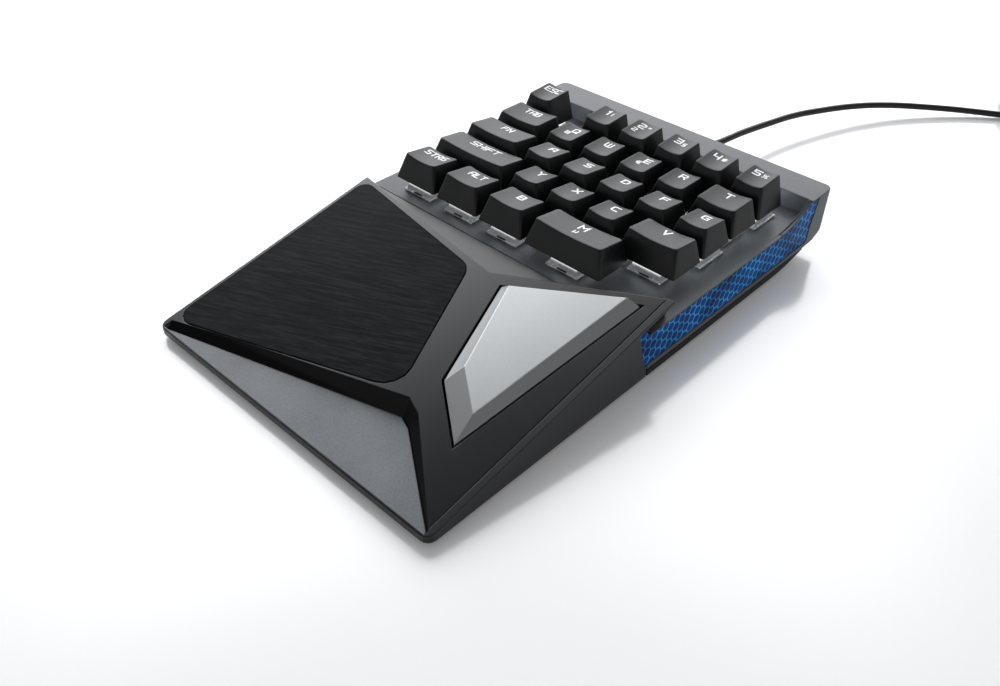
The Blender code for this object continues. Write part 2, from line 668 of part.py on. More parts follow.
def make_housing(name, x, y):
    """One switch's closed body, from the circuit board to its bevelled top, with its stem's bore."""
    flange_low = DECK_Z + CLEARANCE
    flange_high = flange_low + SWITCH_FLANGE_THICKNESS
    shoulder_width = SWITCH_FLANGE - SWITCH_FLANGE_THICKNESS * 2
    housing = loft(
        "housing_" + name,
        (
            square(x, y, SWITCH_BODY, HOUSING_FOOT),
            square(x, y, SWITCH_BODY, flange_low),
            square(x, y, SWITCH_FLANGE, flange_low),
            square(x, y, SWITCH_FLANGE, flange_high),
            square(x, y, shoulder_width, flange_high),
            square(x, y, SWITCH_TOP_WIDTH, DECK_Z + SWITCH_TOP_HEIGHT),
        ),
    )
    bore_width = STEM_WIDTH / 2 + STEM_CLEARANCE
    bore_depth = STEM_DEPTH / 2 + STEM_CLEARANCE
    bore = box(
        "bore_" + name,
        (x - bore_width, y - bore_depth, BORE_FLOOR_Z),
        (x + bore_width, y + bore_depth, DECK_Z + SWITCH_TOP_HEIGHT + OVERRUN),
    )
    return housing, bore


for row, keys in KEY_ROW_SHARES.items():
    y_high = GRID_BACK - (row - 1) * ROW_PITCH
    y_low = y_high - ROW_PITCH
    y_middle = (y_low + y_high) / 2
    places = []
    for name, start_share, width_share in keys:
        x_low = GRID_LEFT + start_share * KEY_PITCH
        x_high = x_low + width_share * KEY_PITCH
        make_cap(name, x_low, x_high, y_low, y_high, row)
        places.append((name, (x_low + x_high) / 2))
    rail = box(
        f"switch_row_{row}",
        (places[0][1], y_middle - RAIL_WIDTH / 2, HOUSING_FOOT),
        (places[-1][1], y_middle + RAIL_WIDTH / 2, HOUSING_FOOT + RAIL_HEIGHT),
        SWITCH_PLASTIC,
    )
    for name, x in places:
        housing, bore = make_housing(name, x, y_middle)
        join(rail, housing)
        cut(rail, bore)
        hole = box(
            "hole_" + name,
            (x - SWITCH_HOLE / 2, y_middle - SWITCH_HOLE / 2, DECK_Z - OVERRUN),
            (x + SWITCH_HOLE / 2, y_middle + SWITCH_HOLE / 2, DECK_Z + OVERRUN),
        )
        cut(top_frame, hole)

# Circuit board under the switches, with a lamp bar along each side
POST_LEFT = LEFT + SCREW_INSET
POST_RIGHT = RIGHT - SCREW_INSET
BOARD_LEFT = POST_LEFT + POST_RADIUS + BOARD_SIDE_MARGIN
BOARD_RIGHT = POST_RIGHT - POST_RADIUS - CLEARANCE
BOARD_BACK = DECK_BACK - CLEARANCE
BOARD_FRONT = DECK_FRONT + BOARD_SIDE_MARGIN
box(
    "circuit_board",
    (BOARD_LEFT, BOARD_FRONT, BOARD_TOP - BOARD_THICKNESS),
    (BOARD_RIGHT, BOARD_BACK, BOARD_TOP),
    BOARD_LAMINATE,
)
LAMP_MIDDLE_Y = (BOARD_FRONT + BOARD_BACK) / 2
for name, x in (
    ("lamp_bar_left", BOARD_LEFT),
    ("lamp_bar_right", BOARD_RIGHT - LAMP_WIDTH),
):
    box(
        name,
        (x, LAMP_MIDDLE_Y - LAMP_LENGTH / 2, HOUSING_FOOT),
        (x + LAMP_WIDTH, LAMP_MIDDLE_Y + LAMP_LENGTH / 2, HOUSING_FOOT + LAMP_HEIGHT),
        LAMP_RESIN,
    )

# Palm rest housing
ridge_break = palm_plan(RIDGE_BREAK_SHARES)
ridge_tip = palm_plan(RIDGE_TIP_SHARES)
ridge_foot_x = LEFT + RIDGE_FOOT_SHARE * BODY_WIDTH
TIP_BACK = DECK_FRONT + TIP_REACH_SHARE * PALM_LENGTH
palm_outline = (
    (LEFT, FRONT), (RIGHT, FRONT), (RIGHT, TIP_BACK),
    ridge_tip, (ridge_foot_x, DECK_FRONT), (LEFT, DECK_FRONT),
)
palm_radii = (CORNER_RADIUS, CORNER_RADIUS, CLEARANCE, CLEARANCE, CLEARANCE / 2, CLEARANCE / 2)
palm_housing = plan_outline(
    "palm_housing", rounded(palm_outline, palm_radii), CASE_Z, BORDER_Z + OVERRUN, PALM_PLASTIC
)
body = bmesh.new()
body.from_mesh(palm_housing.data)
to_world = palm_housing.matrix_world
bmesh.ops.transform(body, matrix=to_world, verts=body.verts[:])
trim(body, on_palm((0.0, FRONT)), PALM_NORMAL)
body.to_mesh(palm_housing.data)
body.free()
palm_housing.matrix_world = Matrix.Identity(4)

# The facet behind the ridge falls from the ridge's break to the deck's front edge
FACET_BACK_Y = DECK_FRONT - CLEARANCE
facet_slope = FACET_BREAK_HEIGHT / (FACET_BACK_Y - ridge_break[1])
facet_normal = Vector((0.0, facet_slope, 1.0)).normalized()
facet_point = Vector((0.0, FACET_BACK_Y, DECK_Z))
break_point = Vector((*ridge_break, DECK_Z + FACET_BREAK_HEIGHT))
ridge_left_plan = (LEFT, FRONT + RIDGE_LEFT_SHARE * PALM_LENGTH)
ridge_left = on_palm(ridge_left_plan)
deck_corner = Vector((LEFT, FACET_BACK_Y, DECK_Z))
left_wall = (break_point - deck_corner).cross(ridge_left - deck_corner)
left_wall = left_wall if left_wall.y < 0 else -left_wall
right_run = Vector((ridge_tip[0] - ridge_break[0], ridge_tip[1] - ridge_break[1], 0.0))
right_wall = Vector((right_run.y, -right_run.x, 0.0))
facet = box_mesh(
    (LEFT - OVERRUN, ridge_break[1] - OVERRUN, CASE_Z),
    (RIGHT + OVERRUN, TIP_BACK + OVERRUN, BORDER_Z + OVERRUN),
)
trim(facet, facet_point, -facet_normal)
trim(facet, break_point, left_wall)
trim(facet, break_point, right_wall)
cut(palm_housing, finish_mesh("facet_cut", facet, None))

# Under the tip the rest clears the deck, and the deck's front edge clears the rest
tip_cut = box(
    "tip_cut",
    (LEFT - OVERRUN, DECK_FRONT - CLEARANCE, CASE_Z - OVERRUN),
    (RIGHT + OVERRUN, TIP_BACK + OVERRUN, DECK_Z + CLEARANCE),
)
cut(palm_housing, tip_cut)
notch_front = TIP_BACK - TIP_NOTCH_SHARE * PALM_LENGTH
notch_low = DECK_Z + CLEARANCE / 2
notch_outline = (
    (notch_front, notch_low),
    (TIP_BACK + OVERRUN, notch_low),
    (TIP_BACK + OVERRUN, palm_z(TIP_BACK + OVERRUN) - TIP_NOTCH_ROOF),
    (notch_front, palm_z(notch_front) - TIP_NOTCH_ROOF),
)
cut(palm_housing, side_profile("tip_notch", notch_outline, RIGHT - TIP_SIDE_INSET, RIGHT + OVERRUN))

# Inside of the rest, open below
FLOOR_TOP = CASE_Z + FLOOR_THICKNESS
SEAT_Z = FLOOR_TOP + CLEARANCE
RECESS_BACK = FRONT + max(share[1] for share in RECESS_TOP_SHARES) * PALM_LENGTH
PALM_BACK_WALL_Y = DECK_FRONT - CLEARANCE - PALM_WALL
interior = box_mesh(
    (LEFT + PALM_WALL, RECESS_BACK + PALM_WALL, CASE_Z - OVERRUN),
    (RIGHT - PALM_WALL, PALM_BACK_WALL_Y, BORDER_Z),
)
trim(interior, on_palm((0.0, FRONT), -PALM_ROOF), PALM_NORMAL)
trim(interior, facet_point - facet_normal * PALM_ROOF, facet_normal)
cut(palm_housing, finish_mesh("palm_interior", interior, None))
UNDERSIDE_FRONT = FRONT + CASE_FLOOR_FRONT - CLEARANCE
palm_underside = box(
    "palm_underside",
    (LEFT + PALM_WALL, UNDERSIDE_FRONT, CASE_Z - OVERRUN),
    (RIGHT - PALM_WALL, DECK_FRONT, SEAT_Z),
)
cut(palm_housing, palm_underside)

# Pad recess and pad
pad_plan = [palm_local(palm_plan(share)) for share in PAD_SHARES]
pad_outline = rounded(pad_plan, PAD_RADII)
pad_recess_radii = [radius + CLEARANCE for radius in PAD_RADII]
pad_recess = rounded(grown(pad_plan, CLEARANCE), pad_recess_radii)
recess_depth = PAD_THICKNESS - PAD_PROUD + CLEARANCE
pad_recess_cutter = outline_solid("pad_recess", pad_recess, recess_depth * 2, None, palm_matrix(0.0))
outline_solid("palm_pad", pad_outline, PAD_THICKNESS, PAD_PLATE, palm_matrix(PAD_PROUD - PAD_THICKNESS / 2))

# Front recess, cut right through, and the panel that lies in it on the case floor
RIM_Y = FRONT + RIM_WIDTH
PANEL_RIM_Z = palm_z(RIM_Y) - PANEL_DEPTH_AT_RIM
PANEL_SLOPE = PANEL_RISE / PANEL_RISE_RUN


def panel_z(y):
    return PANEL_RIM_Z + (y - RIM_Y) * PANEL_SLOPE


foot_plan = [palm_plan(share) for share in RECESS_FOOT_SHARES]
top_plan = [palm_plan(share) for share in RECESS_TOP_SHARES]
foot_points = [Vector((x, y, panel_z(y))) for x, y in foot_plan]
top_points = [on_palm(place) for place in top_plan]
flared = [top + (top - foot) * RECESS_FLARE_SHARE for foot, top in zip(foot_points, top_points)]
cut(palm_housing, loft("front_recess", (foot_points, flared)))
through = [(x, y, CASE_Z - OVERRUN) for x, y in foot_plan]
through_top = [point + Vector((0.0, 0.0, CLEARANCE / 2)) for point in foot_points]
cut(palm_housing, loft("panel_hole", (through, through_top)))
panel_plan = grown(foot_plan, -CLEARANCE)
loft(
    "front_panel",
    ([(x, y, SEAT_Z) for x, y in panel_plan], [(x, y, panel_z(y)) for x, y in panel_plan]),
    PANEL_METAL,
)

# Thumb bar, its well, its switch and its board
bar_base = [palm_plan(share) for share in BAR_BASE_SHARES]
bar_top = [palm_plan(share) for share in BAR_TOP_SHARES]
thumb_bar = loft(
    "thumb_bar",
    (
        [on_palm(place, -BAR_BELOW) for place in bar_base],
        [on_palm(place) for place in bar_base],
        [on_palm(place, BAR_HEIGHT) for place in bar_top],
    ),
    BAR_METAL,
)
well = grown([palm_local(place) for place in bar_base], BAR_GAP)
well_depth = BAR_BELOW + BAR_TRAVEL + CLEARANCE
bar_well_cutter = outline_solid("bar_well", well, well_depth * 2, None, palm_matrix(0.0))
thumb_x, thumb_y = palm_plan(THUMB_SWITCH_SHARES)
thumb_local_y = palm_local((thumb_x, thumb_y))[1]


def thumb_box(name, half_x, half_y, low, high, material=None):
    bm = box_mesh(
        (thumb_x - half_x, thumb_local_y - half_y, low), (thumb_x + half_x, thumb_local_y + half_y, high)
    )
    bmesh.ops.transform(bm, matrix=palm_matrix(0.0), verts=bm.verts[:])
    return finish_mesh(name, bm, material)


stem_half = THUMB_STEM_WIDTH / 2
thumb_top = -(BAR_BELOW + BAR_TRAVEL + THUMB_SWITCH_GAP)
thumb_bore_depth = THUMB_STEM_REACH + BAR_TRAVEL + THUMB_BORE_GAP
thumb_foot = thumb_top - THUMB_SWITCH_HEIGHT
join(
    thumb_bar,
    thumb_box("thumb_stem", stem_half, stem_half, thumb_top - THUMB_STEM_REACH, -BAR_BELOW + STEM_OVERLAP),
)
thumb_switch = thumb_box(
    "thumb_switch", THUMB_SWITCH_WIDTH / 2, THUMB_SWITCH_WIDTH / 2, thumb_foot, thumb_top, SWITCH_PLASTIC
)
bore_half = stem_half + STEM_CLEARANCE
thumb_bore = thumb_box(
    "thumb_bore", bore_half, bore_half, thumb_top - thumb_bore_depth, thumb_top + OVERRUN
)
cut(thumb_switch, thumb_bore)
thumb_board_top = thumb_foot - CLEARANCE
thumb_board_foot = thumb_board_top - THUMB_BOARD_THICKNESS
thumb_box(
    "thumb_board",
    THUMB_BOARD_WIDTH / 2,
    THUMB_BOARD_DEPTH / 2,
    thumb_board_foot,
    thumb_board_top,
    BOARD_LAMINATE,
)

# Bottom case: a tray under the frame and a flat floor under the palm rest
CASE_FRAME_FRONT = DECK_FRONT + CLEARANCE
CASE_TOP = SKIRT_Z - CLEARANCE
SWEEP_BACK = BACK_FLOOR_FRONT + BACK_SETBACK
SWEEP_FRONT = SWEEP_BACK - CASE_RIM_BACK_RUN
sweep = [
    (SWEEP_FRONT + (SWEEP_BACK - SWEEP_FRONT) * run, CASE_TOP - (CASE_TOP - CASE_Z) * drop)
    for run, drop in CASE_SWEEP_SHARES
]
tray_profile = [(CASE_FRAME_FRONT, CASE_TOP), *sweep, (SWEEP_FRONT, CASE_Z), (CASE_FRAME_FRONT, CASE_Z)]
bottom_case = side_profile("bottom_case", tray_profile, LEFT, RIGHT, CASE_PLASTIC)
FLOOR_FRONT = FRONT + CASE_FLOOR_FRONT
FLOOR_LEFT = LEFT + PALM_WALL + CLEARANCE
FLOOR_RIGHT = RIGHT - PALM_WALL - CLEARANCE
palm_floor = box(
    "palm_floor",
    (FLOOR_LEFT, FLOOR_FRONT, CASE_Z),
    (FLOOR_RIGHT, CASE_FRAME_FRONT + CASE_RIM_WIDTH, FLOOR_TOP),
)
join(bottom_case, palm_floor)
cut(
    bottom_case,
    box(
        "tray_hollow",
        (LEFT + CASE_RIM_WIDTH, CASE_FRAME_FRONT - OVERRUN, FLOOR_TOP),
        (RIGHT - CASE_RIM_WIDTH, SWEEP_FRONT - CASE_RIM_WIDTH, CASE_TOP + OVERRUN),
    ),
)
thumb_board_z = on_palm((thumb_x, thumb_y), thumb_board_foot).z
thumb_post_top = thumb_board_z - CLEARANCE - THUMB_POST_RADIUS * PALM_SLOPE
thumb_post_y = on_palm((thumb_x, thumb_y), thumb_board_foot).y
for name, side in (("thumb_post_left", -1), ("thumb_post_right", 1)):
    x = thumb_x + side * THUMB_POST_SPAN / 2
    post_low = CASE_Z + FLOOR_THICKNESS / 2
    join(bottom_case, cylinder(name, x, thumb_post_y, post_low, thumb_post_top, THUMB_POST_RADIUS))

# Posts under the deck and the palm rest, and the screws that pull the case to them
BOSS_TOP = FLOOR_TOP + BOSS_HEIGHT
POST_FOOT = BOSS_TOP + CLEARANCE
SCREW_HEAD_TOP = CASE_Z + SCREW_RECESS_DEPTH - CLEARANCE
SCREW_REST_Y = FRONT + SCREW_REST_SHARE * PALM_LENGTH
SCREW_TRAY_Y = DECK_FRONT + SCREW_TRAY_SHARE * (SWEEP_FRONT - DECK_FRONT)
for end, carrier, y, roof in (
    ("front", palm_housing, SCREW_REST_Y, palm_z(SCREW_REST_Y) - PALM_ROOF / 2),
    ("back", top_frame, SCREW_TRAY_Y, DECK_Z - DECK_THICKNESS / 2),
):
    for side, x in (("left", POST_LEFT), ("right", POST_RIGHT)):
        tag = f"{side}_{end}"
        place = Matrix.Translation((x, y, 0.0))
        pilot_radius = SCREW_SHANK_RADIUS + SCREW_CLEARANCE
        pilot_top = SCREW_HEAD_TOP + SCREW_LENGTH + CLEARANCE
        post_profile = (
            (0.0, roof),
            (POST_RADIUS, roof),
            (POST_RADIUS, POST_FOOT),
            (pilot_radius, POST_FOOT),
            (pilot_radius, pilot_top),
            (0.0, pilot_top),
        )
        join(carrier, turned("post_" + tag, post_profile, ROUND_SEGMENTS, None, place))
        head_hole_radius = SCREW_HEAD_RADIUS + CLEARANCE
        hole_profile = (
            (0.0, BOSS_TOP + OVERRUN),
            (pilot_radius, BOSS_TOP + OVERRUN),
            (pilot_radius, CASE_Z + SCREW_RECESS_DEPTH),
            (head_hole_radius, CASE_Z + SCREW_RECESS_DEPTH),
            (head_hole_radius, CASE_Z - OVERRUN),
            (0.0, CASE_Z - OVERRUN),
        )
        join(bottom_case, cylinder("boss_" + tag, x, y, CASE_Z + FLOOR_THICKNESS / 2, BOSS_TOP, BOSS_RADIUS))
        cut(bottom_case, turned("screw_hole_" + tag, hole_profile, ROUND_SEGMENTS, None, place))
        head_low = SCREW_HEAD_TOP - SCREW_HEAD_HEIGHT
        screw_profile = (
            (0.0, SCREW_HEAD_TOP + SCREW_LENGTH),
            (SCREW_SHANK_RADIUS, SCREW_HEAD_TOP + SCREW_LENGTH),
            (SCREW_SHANK_RADIUS, SCREW_HEAD_TOP),
            (SCREW_HEAD_RADIUS, SCREW_HEAD_TOP),
            (SCREW_HEAD_RADIUS, head_low),
            (0.0, head_low),
        )
        turned("screw_" + tag, screw_profile, ROUND_SEGMENTS, SCREW_STEEL, place)

cut(palm_housing, bar_well_cutter, pad_recess_cutter)

# Rubber feet under the corners
FOOT_BACK_Y = SWEEP_FRONT - FOOT_INSET
for name, x, y in (
    ("foot_front_left", LEFT + FOOT_INSET, FRONT + FOOT_INSET),
    ("foot_front_right", RIGHT - FOOT_INSET, FRONT + FOOT_INSET),
    ("foot_back_left", LEFT + FOOT_INSET, FOOT_BACK_Y),
    ("foot_back_right", RIGHT - FOOT_INSET, FOOT_BACK_Y),
):
    foot_top = CASE_Z - CLEARANCE
    foot_profile = ((0.0, foot_top), (FOOT_RADIUS, foot_top), (FOOT_RADIUS, DESK_Z), (0.0, DESK_Z))
    turned(name, foot_profile, FOOT_SEGMENTS, FOOT_RUBBER, Matrix.Translation((x, y, 0.0)))

# Light windows in both side walls, each let into the frame and the palm rest
WINDOW_Y = DECK_FRONT - WINDOW_FRONT_REACH
WINDOW_Z = DECK_Z - WINDOW_FOOT_DEPTH
window_outline = [(WINDOW_Y + a * WINDOW_LENGTH, WINDOW_Z + b * WINDOW_HEIGHT) for a, b in WINDOW_SHARES]
pocket_outline = grown(window_outline, CLEARANCE)
POCKET_DEPTH = WINDOW_RECESS + WINDOW_THICKNESS + CLEARANCE


def side_range(side, outer, inner):
    ends = (side * (RIGHT - outer), side * (RIGHT - inner))
    return min(ends), max(ends)


def make_window(name, side):
    pocket = side_profile(name + "_pocket", pocket_outline, *side_range(side, -OVERRUN, POCKET_DEPTH))
    cut(top_frame, pocket)
    cut(palm_housing, pocket)
    span = side_range(side, WINDOW_RECESS, WINDOW_RECESS + WINDOW_THICKNESS)
    return side_profile(name, window_outline, *span, WINDOW_ACRYLIC)


mirrored_pair("light_window", make_window)

# Strain relief in the back wall, square to it on the outside
EXIT_Z = CORD_EXIT_HEIGHT
BACK_LEAN = BACK_SETBACK / (BORDER_Z - DECK_Z + BACK_CHAMFER_TOP_DEPTH)
BACK_Y_AT_EXIT = BACK - (BORDER_Z - EXIT_Z) * BACK_LEAN
RELIEF_END_Y = BACK_Y_AT_EXIT + RELIEF_LENGTH
flange_back = CAVITY_BACK - CLEARANCE
flange_front = flange_back - RELIEF_FLANGE_THICKNESS
along_y = Matrix.Translation((0.0, 0.0, EXIT_Z)) @ Matrix.Rotation(-math.pi / 2, 4, "X")
relief_profile = (
    (0.0, RELIEF_END_Y),
    (RELIEF_TIP_RADIUS, RELIEF_END_Y),
    (RELIEF_BASE_RADIUS, BACK_Y_AT_EXIT),
    (RELIEF_BASE_RADIUS, flange_back),
    (RELIEF_FLANGE_RADIUS, flange_back),
    (RELIEF_FLANGE_RADIUS, flange_front),
    (0.0, flange_front),
)
turned("strain_relief", relief_profile, RELIEF_SEGMENTS, CORD_RUBBER, along_y)
exit_radius = RELIEF_BASE_RADIUS + CLEARANCE
flange_hole_radius = RELIEF_FLANGE_RADIUS + CLEARANCE
exit_profile = (
    (0.0, BACK + OVERRUN),
    (exit_radius, BACK + OVERRUN),
    (exit_radius, CAVITY_BACK),
    (flange_hole_radius, CAVITY_BACK),
    (flange_hole_radius, flange_front - CLEARANCE),
    (0.0, flange_front - CLEARANCE),
)
cut(top_frame, turned("relief_hole", exit_profile, RELIEF_SEGMENTS, None, along_y))

# Lead: a smooth curve through its own route points, then the coil and its tail
COIL_HEADING = math.radians(COIL_HEADING_DEGREES)
HEADING = Vector((math.cos(COIL_HEADING), math.sin(COIL_HEADING), 0.0))


def smooth_curve(route, gap):
    """Points about one gap apart on the centripetal spline through the route."""
    ends = [route[0] * 2 - route[1], *route, route[-1] * 2 - route[-2]]
    dense = []
    for a, b, c, d in zip(ends, ends[1:], ends[2:], ends[3:]):
        knots = [0.0]
        for first, second in ((a, b), (b, c), (c, d)):
            knots.append(knots[-1] + math.sqrt((second - first).length))
        steps = max(1, round((c - b).length / gap))
        for step in range(steps):
            t = knots[1] + (knots[2] - knots[1]) * step / steps
            low = [
                p + (q - p) * ((t - knots[i]) / (knots[i + 1] - knots[i]))
                for i, (p, q) in enumerate(((a, b), (b, c), (c, d)))
            ]
            middle = [
                p + (q - p) * ((t - knots[i]) / (knots[i + 2] - knots[i]))
                for i, (p, q) in enumerate(((low[0], low[1]), (low[1], low[2])))
            ]
            dense.append(middle[0] + (middle[1] - middle[0]) * ((t - knots[1]) / (knots[2] - knots[1])))
    return [*dense, route[-1]]


def tube(name, points, resolution, material):
    curve = bpy.data.curves.new(name, "CURVE")
    curve.dimensions = "3D"
    curve.bevel_depth = CORD_DIAMETER / 2
    curve.bevel_resolution = resolution
    curve.use_fill_caps = True
    spline = curve.splines.new("POLY")
    spline.points.add(len(points) - 1)
    for target, point in zip(spline.points, points):
        target.co = (*point, 1.0)
    curve.materials.append(material)
    thing = bpy.data.objects.new(name, curve)
    PARTS.objects.link(thing)
    return thing


entry = Vector(COIL_ENTRY)
cord_start = Vector((0.0, RELIEF_END_Y + CLEARANCE, EXIT_Z))
cord_end = entry - HEADING * CLEARANCE
route = [
    cord_start,
    cord_start + Vector((0.0, CORD_DIAMETER, 0.0)),
    *(Vector(point) for point in CORD_ROUTE),
    cord_end - HEADING * CORD_DIAMETER,
    cord_end,
]
tube("cable", smooth_curve(route, CORD_POINT_GAP), CORD_SIDES_RESOLUTION, CORD_RUBBER)


def ease(share):
    return share * share * (3 - 2 * share)


def coil_points():
    """Loops that spiral in and out in turn and climb a layer in each half turn between."""
    start = entry + HEADING * CORD_DIAMETER
    phase = math.radians(COIL_HEADING_DEGREES) - math.pi / 2
    centre = start - Vector((math.cos(phase), math.sin(phase), 0.0)) * COIL_OUTER_RADIUS
    inner_radius = COIL_OUTER_RADIUS - COIL_SPIRAL_STEP * COIL_TURNS_PER_LAYER
    period = COIL_TURNS_PER_LAYER + COIL_CLIMB_TURNS
    total = period * COIL_LAYERS - COIL_CLIMB_TURNS
    points = [entry]
    for step in range(round(total * COIL_POINTS_PER_TURN) + 1):
        turns = step / COIL_POINTS_PER_TURN
        layer = min(int(turns / period), COIL_LAYERS - 1)
        within = turns - layer * period
        spiral = min(within / COIL_TURNS_PER_LAYER, 1.0)
        climb = max(within - COIL_TURNS_PER_LAYER, 0.0) / COIL_CLIMB_TURNS
        inward = spiral if layer % 2 == 0 else 1 - spiral
        radius = COIL_OUTER_RADIUS + (inner_radius - COIL_OUTER_RADIUS) * inward
        angle = phase + turns * math.tau
        height = start.z + COIL_LAYER_STEP * (layer + ease(climb))
        x = centre.x + radius * math.cos(angle)
        y = centre.y + radius * math.sin(angle)
        points.append(Vector((x, y, height)))
    return points


def tail_points(start, direction):
    """From the coil's top layer down to the plug's height, straight on in plan."""
    plug_z = DESK_Z + PLUG_BODY_SIZE[2] / 2
    run = TAIL_LENGTH - CORD_DIAMETER
    points = []
    for step in range(1, TAIL_POINTS + 1):
        share = step / TAIL_POINTS
        place = start + direction * (run * share)
        place.z = start.z + (plug_z - start.z) * ease(share)
        points.append(place)
    points.append(points[-1] + direction * CORD_DIAMETER)
    return points


def least_gap(points):
    """The least face-to-face distance between stretches of the tube that aren't neighbours."""
    apart = round(CORD_DIAMETER * 4 / (COIL_OUTER_RADIUS * math.tau / COIL_POINTS_PER_TURN))
    nearest = min(
        (points[i] - points[j]).length
        for i in range(len(points))
        for j in range(i + apart * 2, len(points))
    )
    return nearest - CORD_DIAMETER


coil = coil_points()
tail = tail_points(coil[-1], HEADING)
winding = coil + tail
tube("cable_coil", winding, COIL_SIDES_RESOLUTION, CORD_RUBBER)
coil_gap = least_gap(winding)
coil_turns = COIL_LAYERS * COIL_TURNS_PER_LAYER + (COIL_LAYERS - 1) * COIL_CLIMB_TURNS
print(f"coil: {coil_turns} loops, least gap to itself {coil_gap / MM:.2f} mm")
print(f"coil: least gap wanted {COIL_LEAST_GAP / MM:.2f} mm")

# Plug at the lead's far end, lying flat on the desk
plug_frame = Matrix.Translation(winding[-1]) @ Matrix.Rotation(math.radians(COIL_HEADING_DEGREES), 4, "Z")


def plug_box(name, x_low, x_high, width, height, material=None):
    bm = box_mesh((x_low, -width / 2, -height / 2), (x_high, width / 2, height / 2))
    bmesh.ops.transform(bm, matrix=plug_frame, verts=bm.verts[:])
    return finish_mesh(name, bm, material)


body_length, body_width, body_height = PLUG_BODY_SIZE
shell_length, shell_width, shell_height = PLUG_SHELL_SIZE
neck_width = CORD_DIAMETER * 2
plug_start = CLEARANCE
plug_end = plug_start + body_length


def plug_section(x, width, height):
    half_w, half_h = width / 2, height / 2
    corners = ((x, -half_w, -half_h), (x, half_w, -half_h), (x, half_w, half_h), (x, -half_w, half_h))
    return [plug_frame @ Vector(corner) for corner in corners]


loft(
    "plug_body",
    (
        plug_section(plug_start, neck_width, neck_width * body_height / body_width + CORD_DIAMETER / 2),
        plug_section(plug_start + PLUG_NECK_LENGTH, body_width, body_height),
        plug_section(plug_end, body_width, body_height),
    ),
    CORD_RUBBER,
)
shell_start = plug_end + CLEARANCE
shell_end = shell_start + shell_length
plug_shell = plug_box("plug_shell", shell_start, shell_end, shell_width, shell_height, SHELL_STEEL)
mouth_width = shell_width - PLUG_SHELL_WALL * 2
mouth_height = shell_height - PLUG_SHELL_WALL * 2
mouth_start = shell_end - PLUG_SHELL_MOUTH
cut(plug_shell, plug_box("plug_mouth", mouth_start, shell_end + OVERRUN, mouth_width, mouth_height))
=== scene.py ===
"""Looks for the one-handed mechanical keypad: its keycaps and legends, painted and
moulded finishes, lit side windows and lead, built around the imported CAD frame.

Metres, in the frame's own axes: +X to the user's right, +Y away from the user, +Z up.
"""

import json
import math

import bmesh
import bpy
from mathutils import Matrix, Vector


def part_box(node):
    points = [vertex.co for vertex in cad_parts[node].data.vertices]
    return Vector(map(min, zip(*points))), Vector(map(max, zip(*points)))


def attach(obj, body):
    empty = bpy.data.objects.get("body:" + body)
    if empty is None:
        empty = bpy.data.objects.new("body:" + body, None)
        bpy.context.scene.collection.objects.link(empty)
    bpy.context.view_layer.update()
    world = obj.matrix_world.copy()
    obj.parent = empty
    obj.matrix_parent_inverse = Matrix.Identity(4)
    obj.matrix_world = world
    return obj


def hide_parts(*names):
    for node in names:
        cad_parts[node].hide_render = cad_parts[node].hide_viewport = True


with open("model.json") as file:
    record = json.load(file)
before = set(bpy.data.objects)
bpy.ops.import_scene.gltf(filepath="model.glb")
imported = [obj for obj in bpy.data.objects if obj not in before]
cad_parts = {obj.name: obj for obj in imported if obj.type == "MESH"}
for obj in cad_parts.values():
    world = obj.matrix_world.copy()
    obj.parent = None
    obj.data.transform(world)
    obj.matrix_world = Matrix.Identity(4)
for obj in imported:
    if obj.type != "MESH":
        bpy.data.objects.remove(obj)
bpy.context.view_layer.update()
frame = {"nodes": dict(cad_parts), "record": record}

MM = 0.001
NODES = frame["nodes"]
HOUSING_BODY = "keypad_body"

REST_LOW, REST_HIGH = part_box("palm_housing")
DESK_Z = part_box("foot_front_left")[0].z
SWITCH_TOP_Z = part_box("switch_row_1")[1].z
SWITCH_ABOVE_DECK = 6.6 * MM
DECK_Z = SWITCH_TOP_Z - SWITCH_ABOVE_DECK
BODY_OF = {node: body for body, nodes in frame["record"]["behaviour"]["bodies"].items() for node in nodes}


# Colours and nodes
def hex_color(text):
    """An sRGB hex value as linear RGBA."""
    channels = [int(text[i : i + 2], 16) / 255 for i in (1, 3, 5)]
    return (*[c / 12.92 if c <= 0.04045 else ((c + 0.055) / 1.055) ** 2.4 for c in channels], 1.0)


def add(tree, kind, inputs=None, **settings):
    """Adds a node with its settings. An input is a value, another node's first output or any output."""
    node = tree.nodes.new("ShaderNode" + kind)
    for name, value in settings.items():
        setattr(node, name, value)
    for key, value in (inputs or {}).items():
        if isinstance(value, bpy.types.Node):
            value = value.outputs[0]
        if isinstance(value, bpy.types.NodeSocket):
            tree.links.new(value, node.inputs[key])
        else:
            node.inputs[key].default_value = value
    return node


def new_material(name):
    """An empty material's own tree, and the place on the piece that its patterns follow."""
    material = bpy.data.materials.new(name)
    material.use_nodes = True
    tree = material.node_tree
    tree.nodes.clear()
    return material, tree, add(tree, "TexCoord").outputs["Object"]


def surface(material, tree, inputs):
    """Ends a material in one Principled surface with these inputs."""
    shader = add(tree, "BsdfPrincipled", inputs)
    add(tree, "OutputMaterial", {"Surface": shader})
    return material


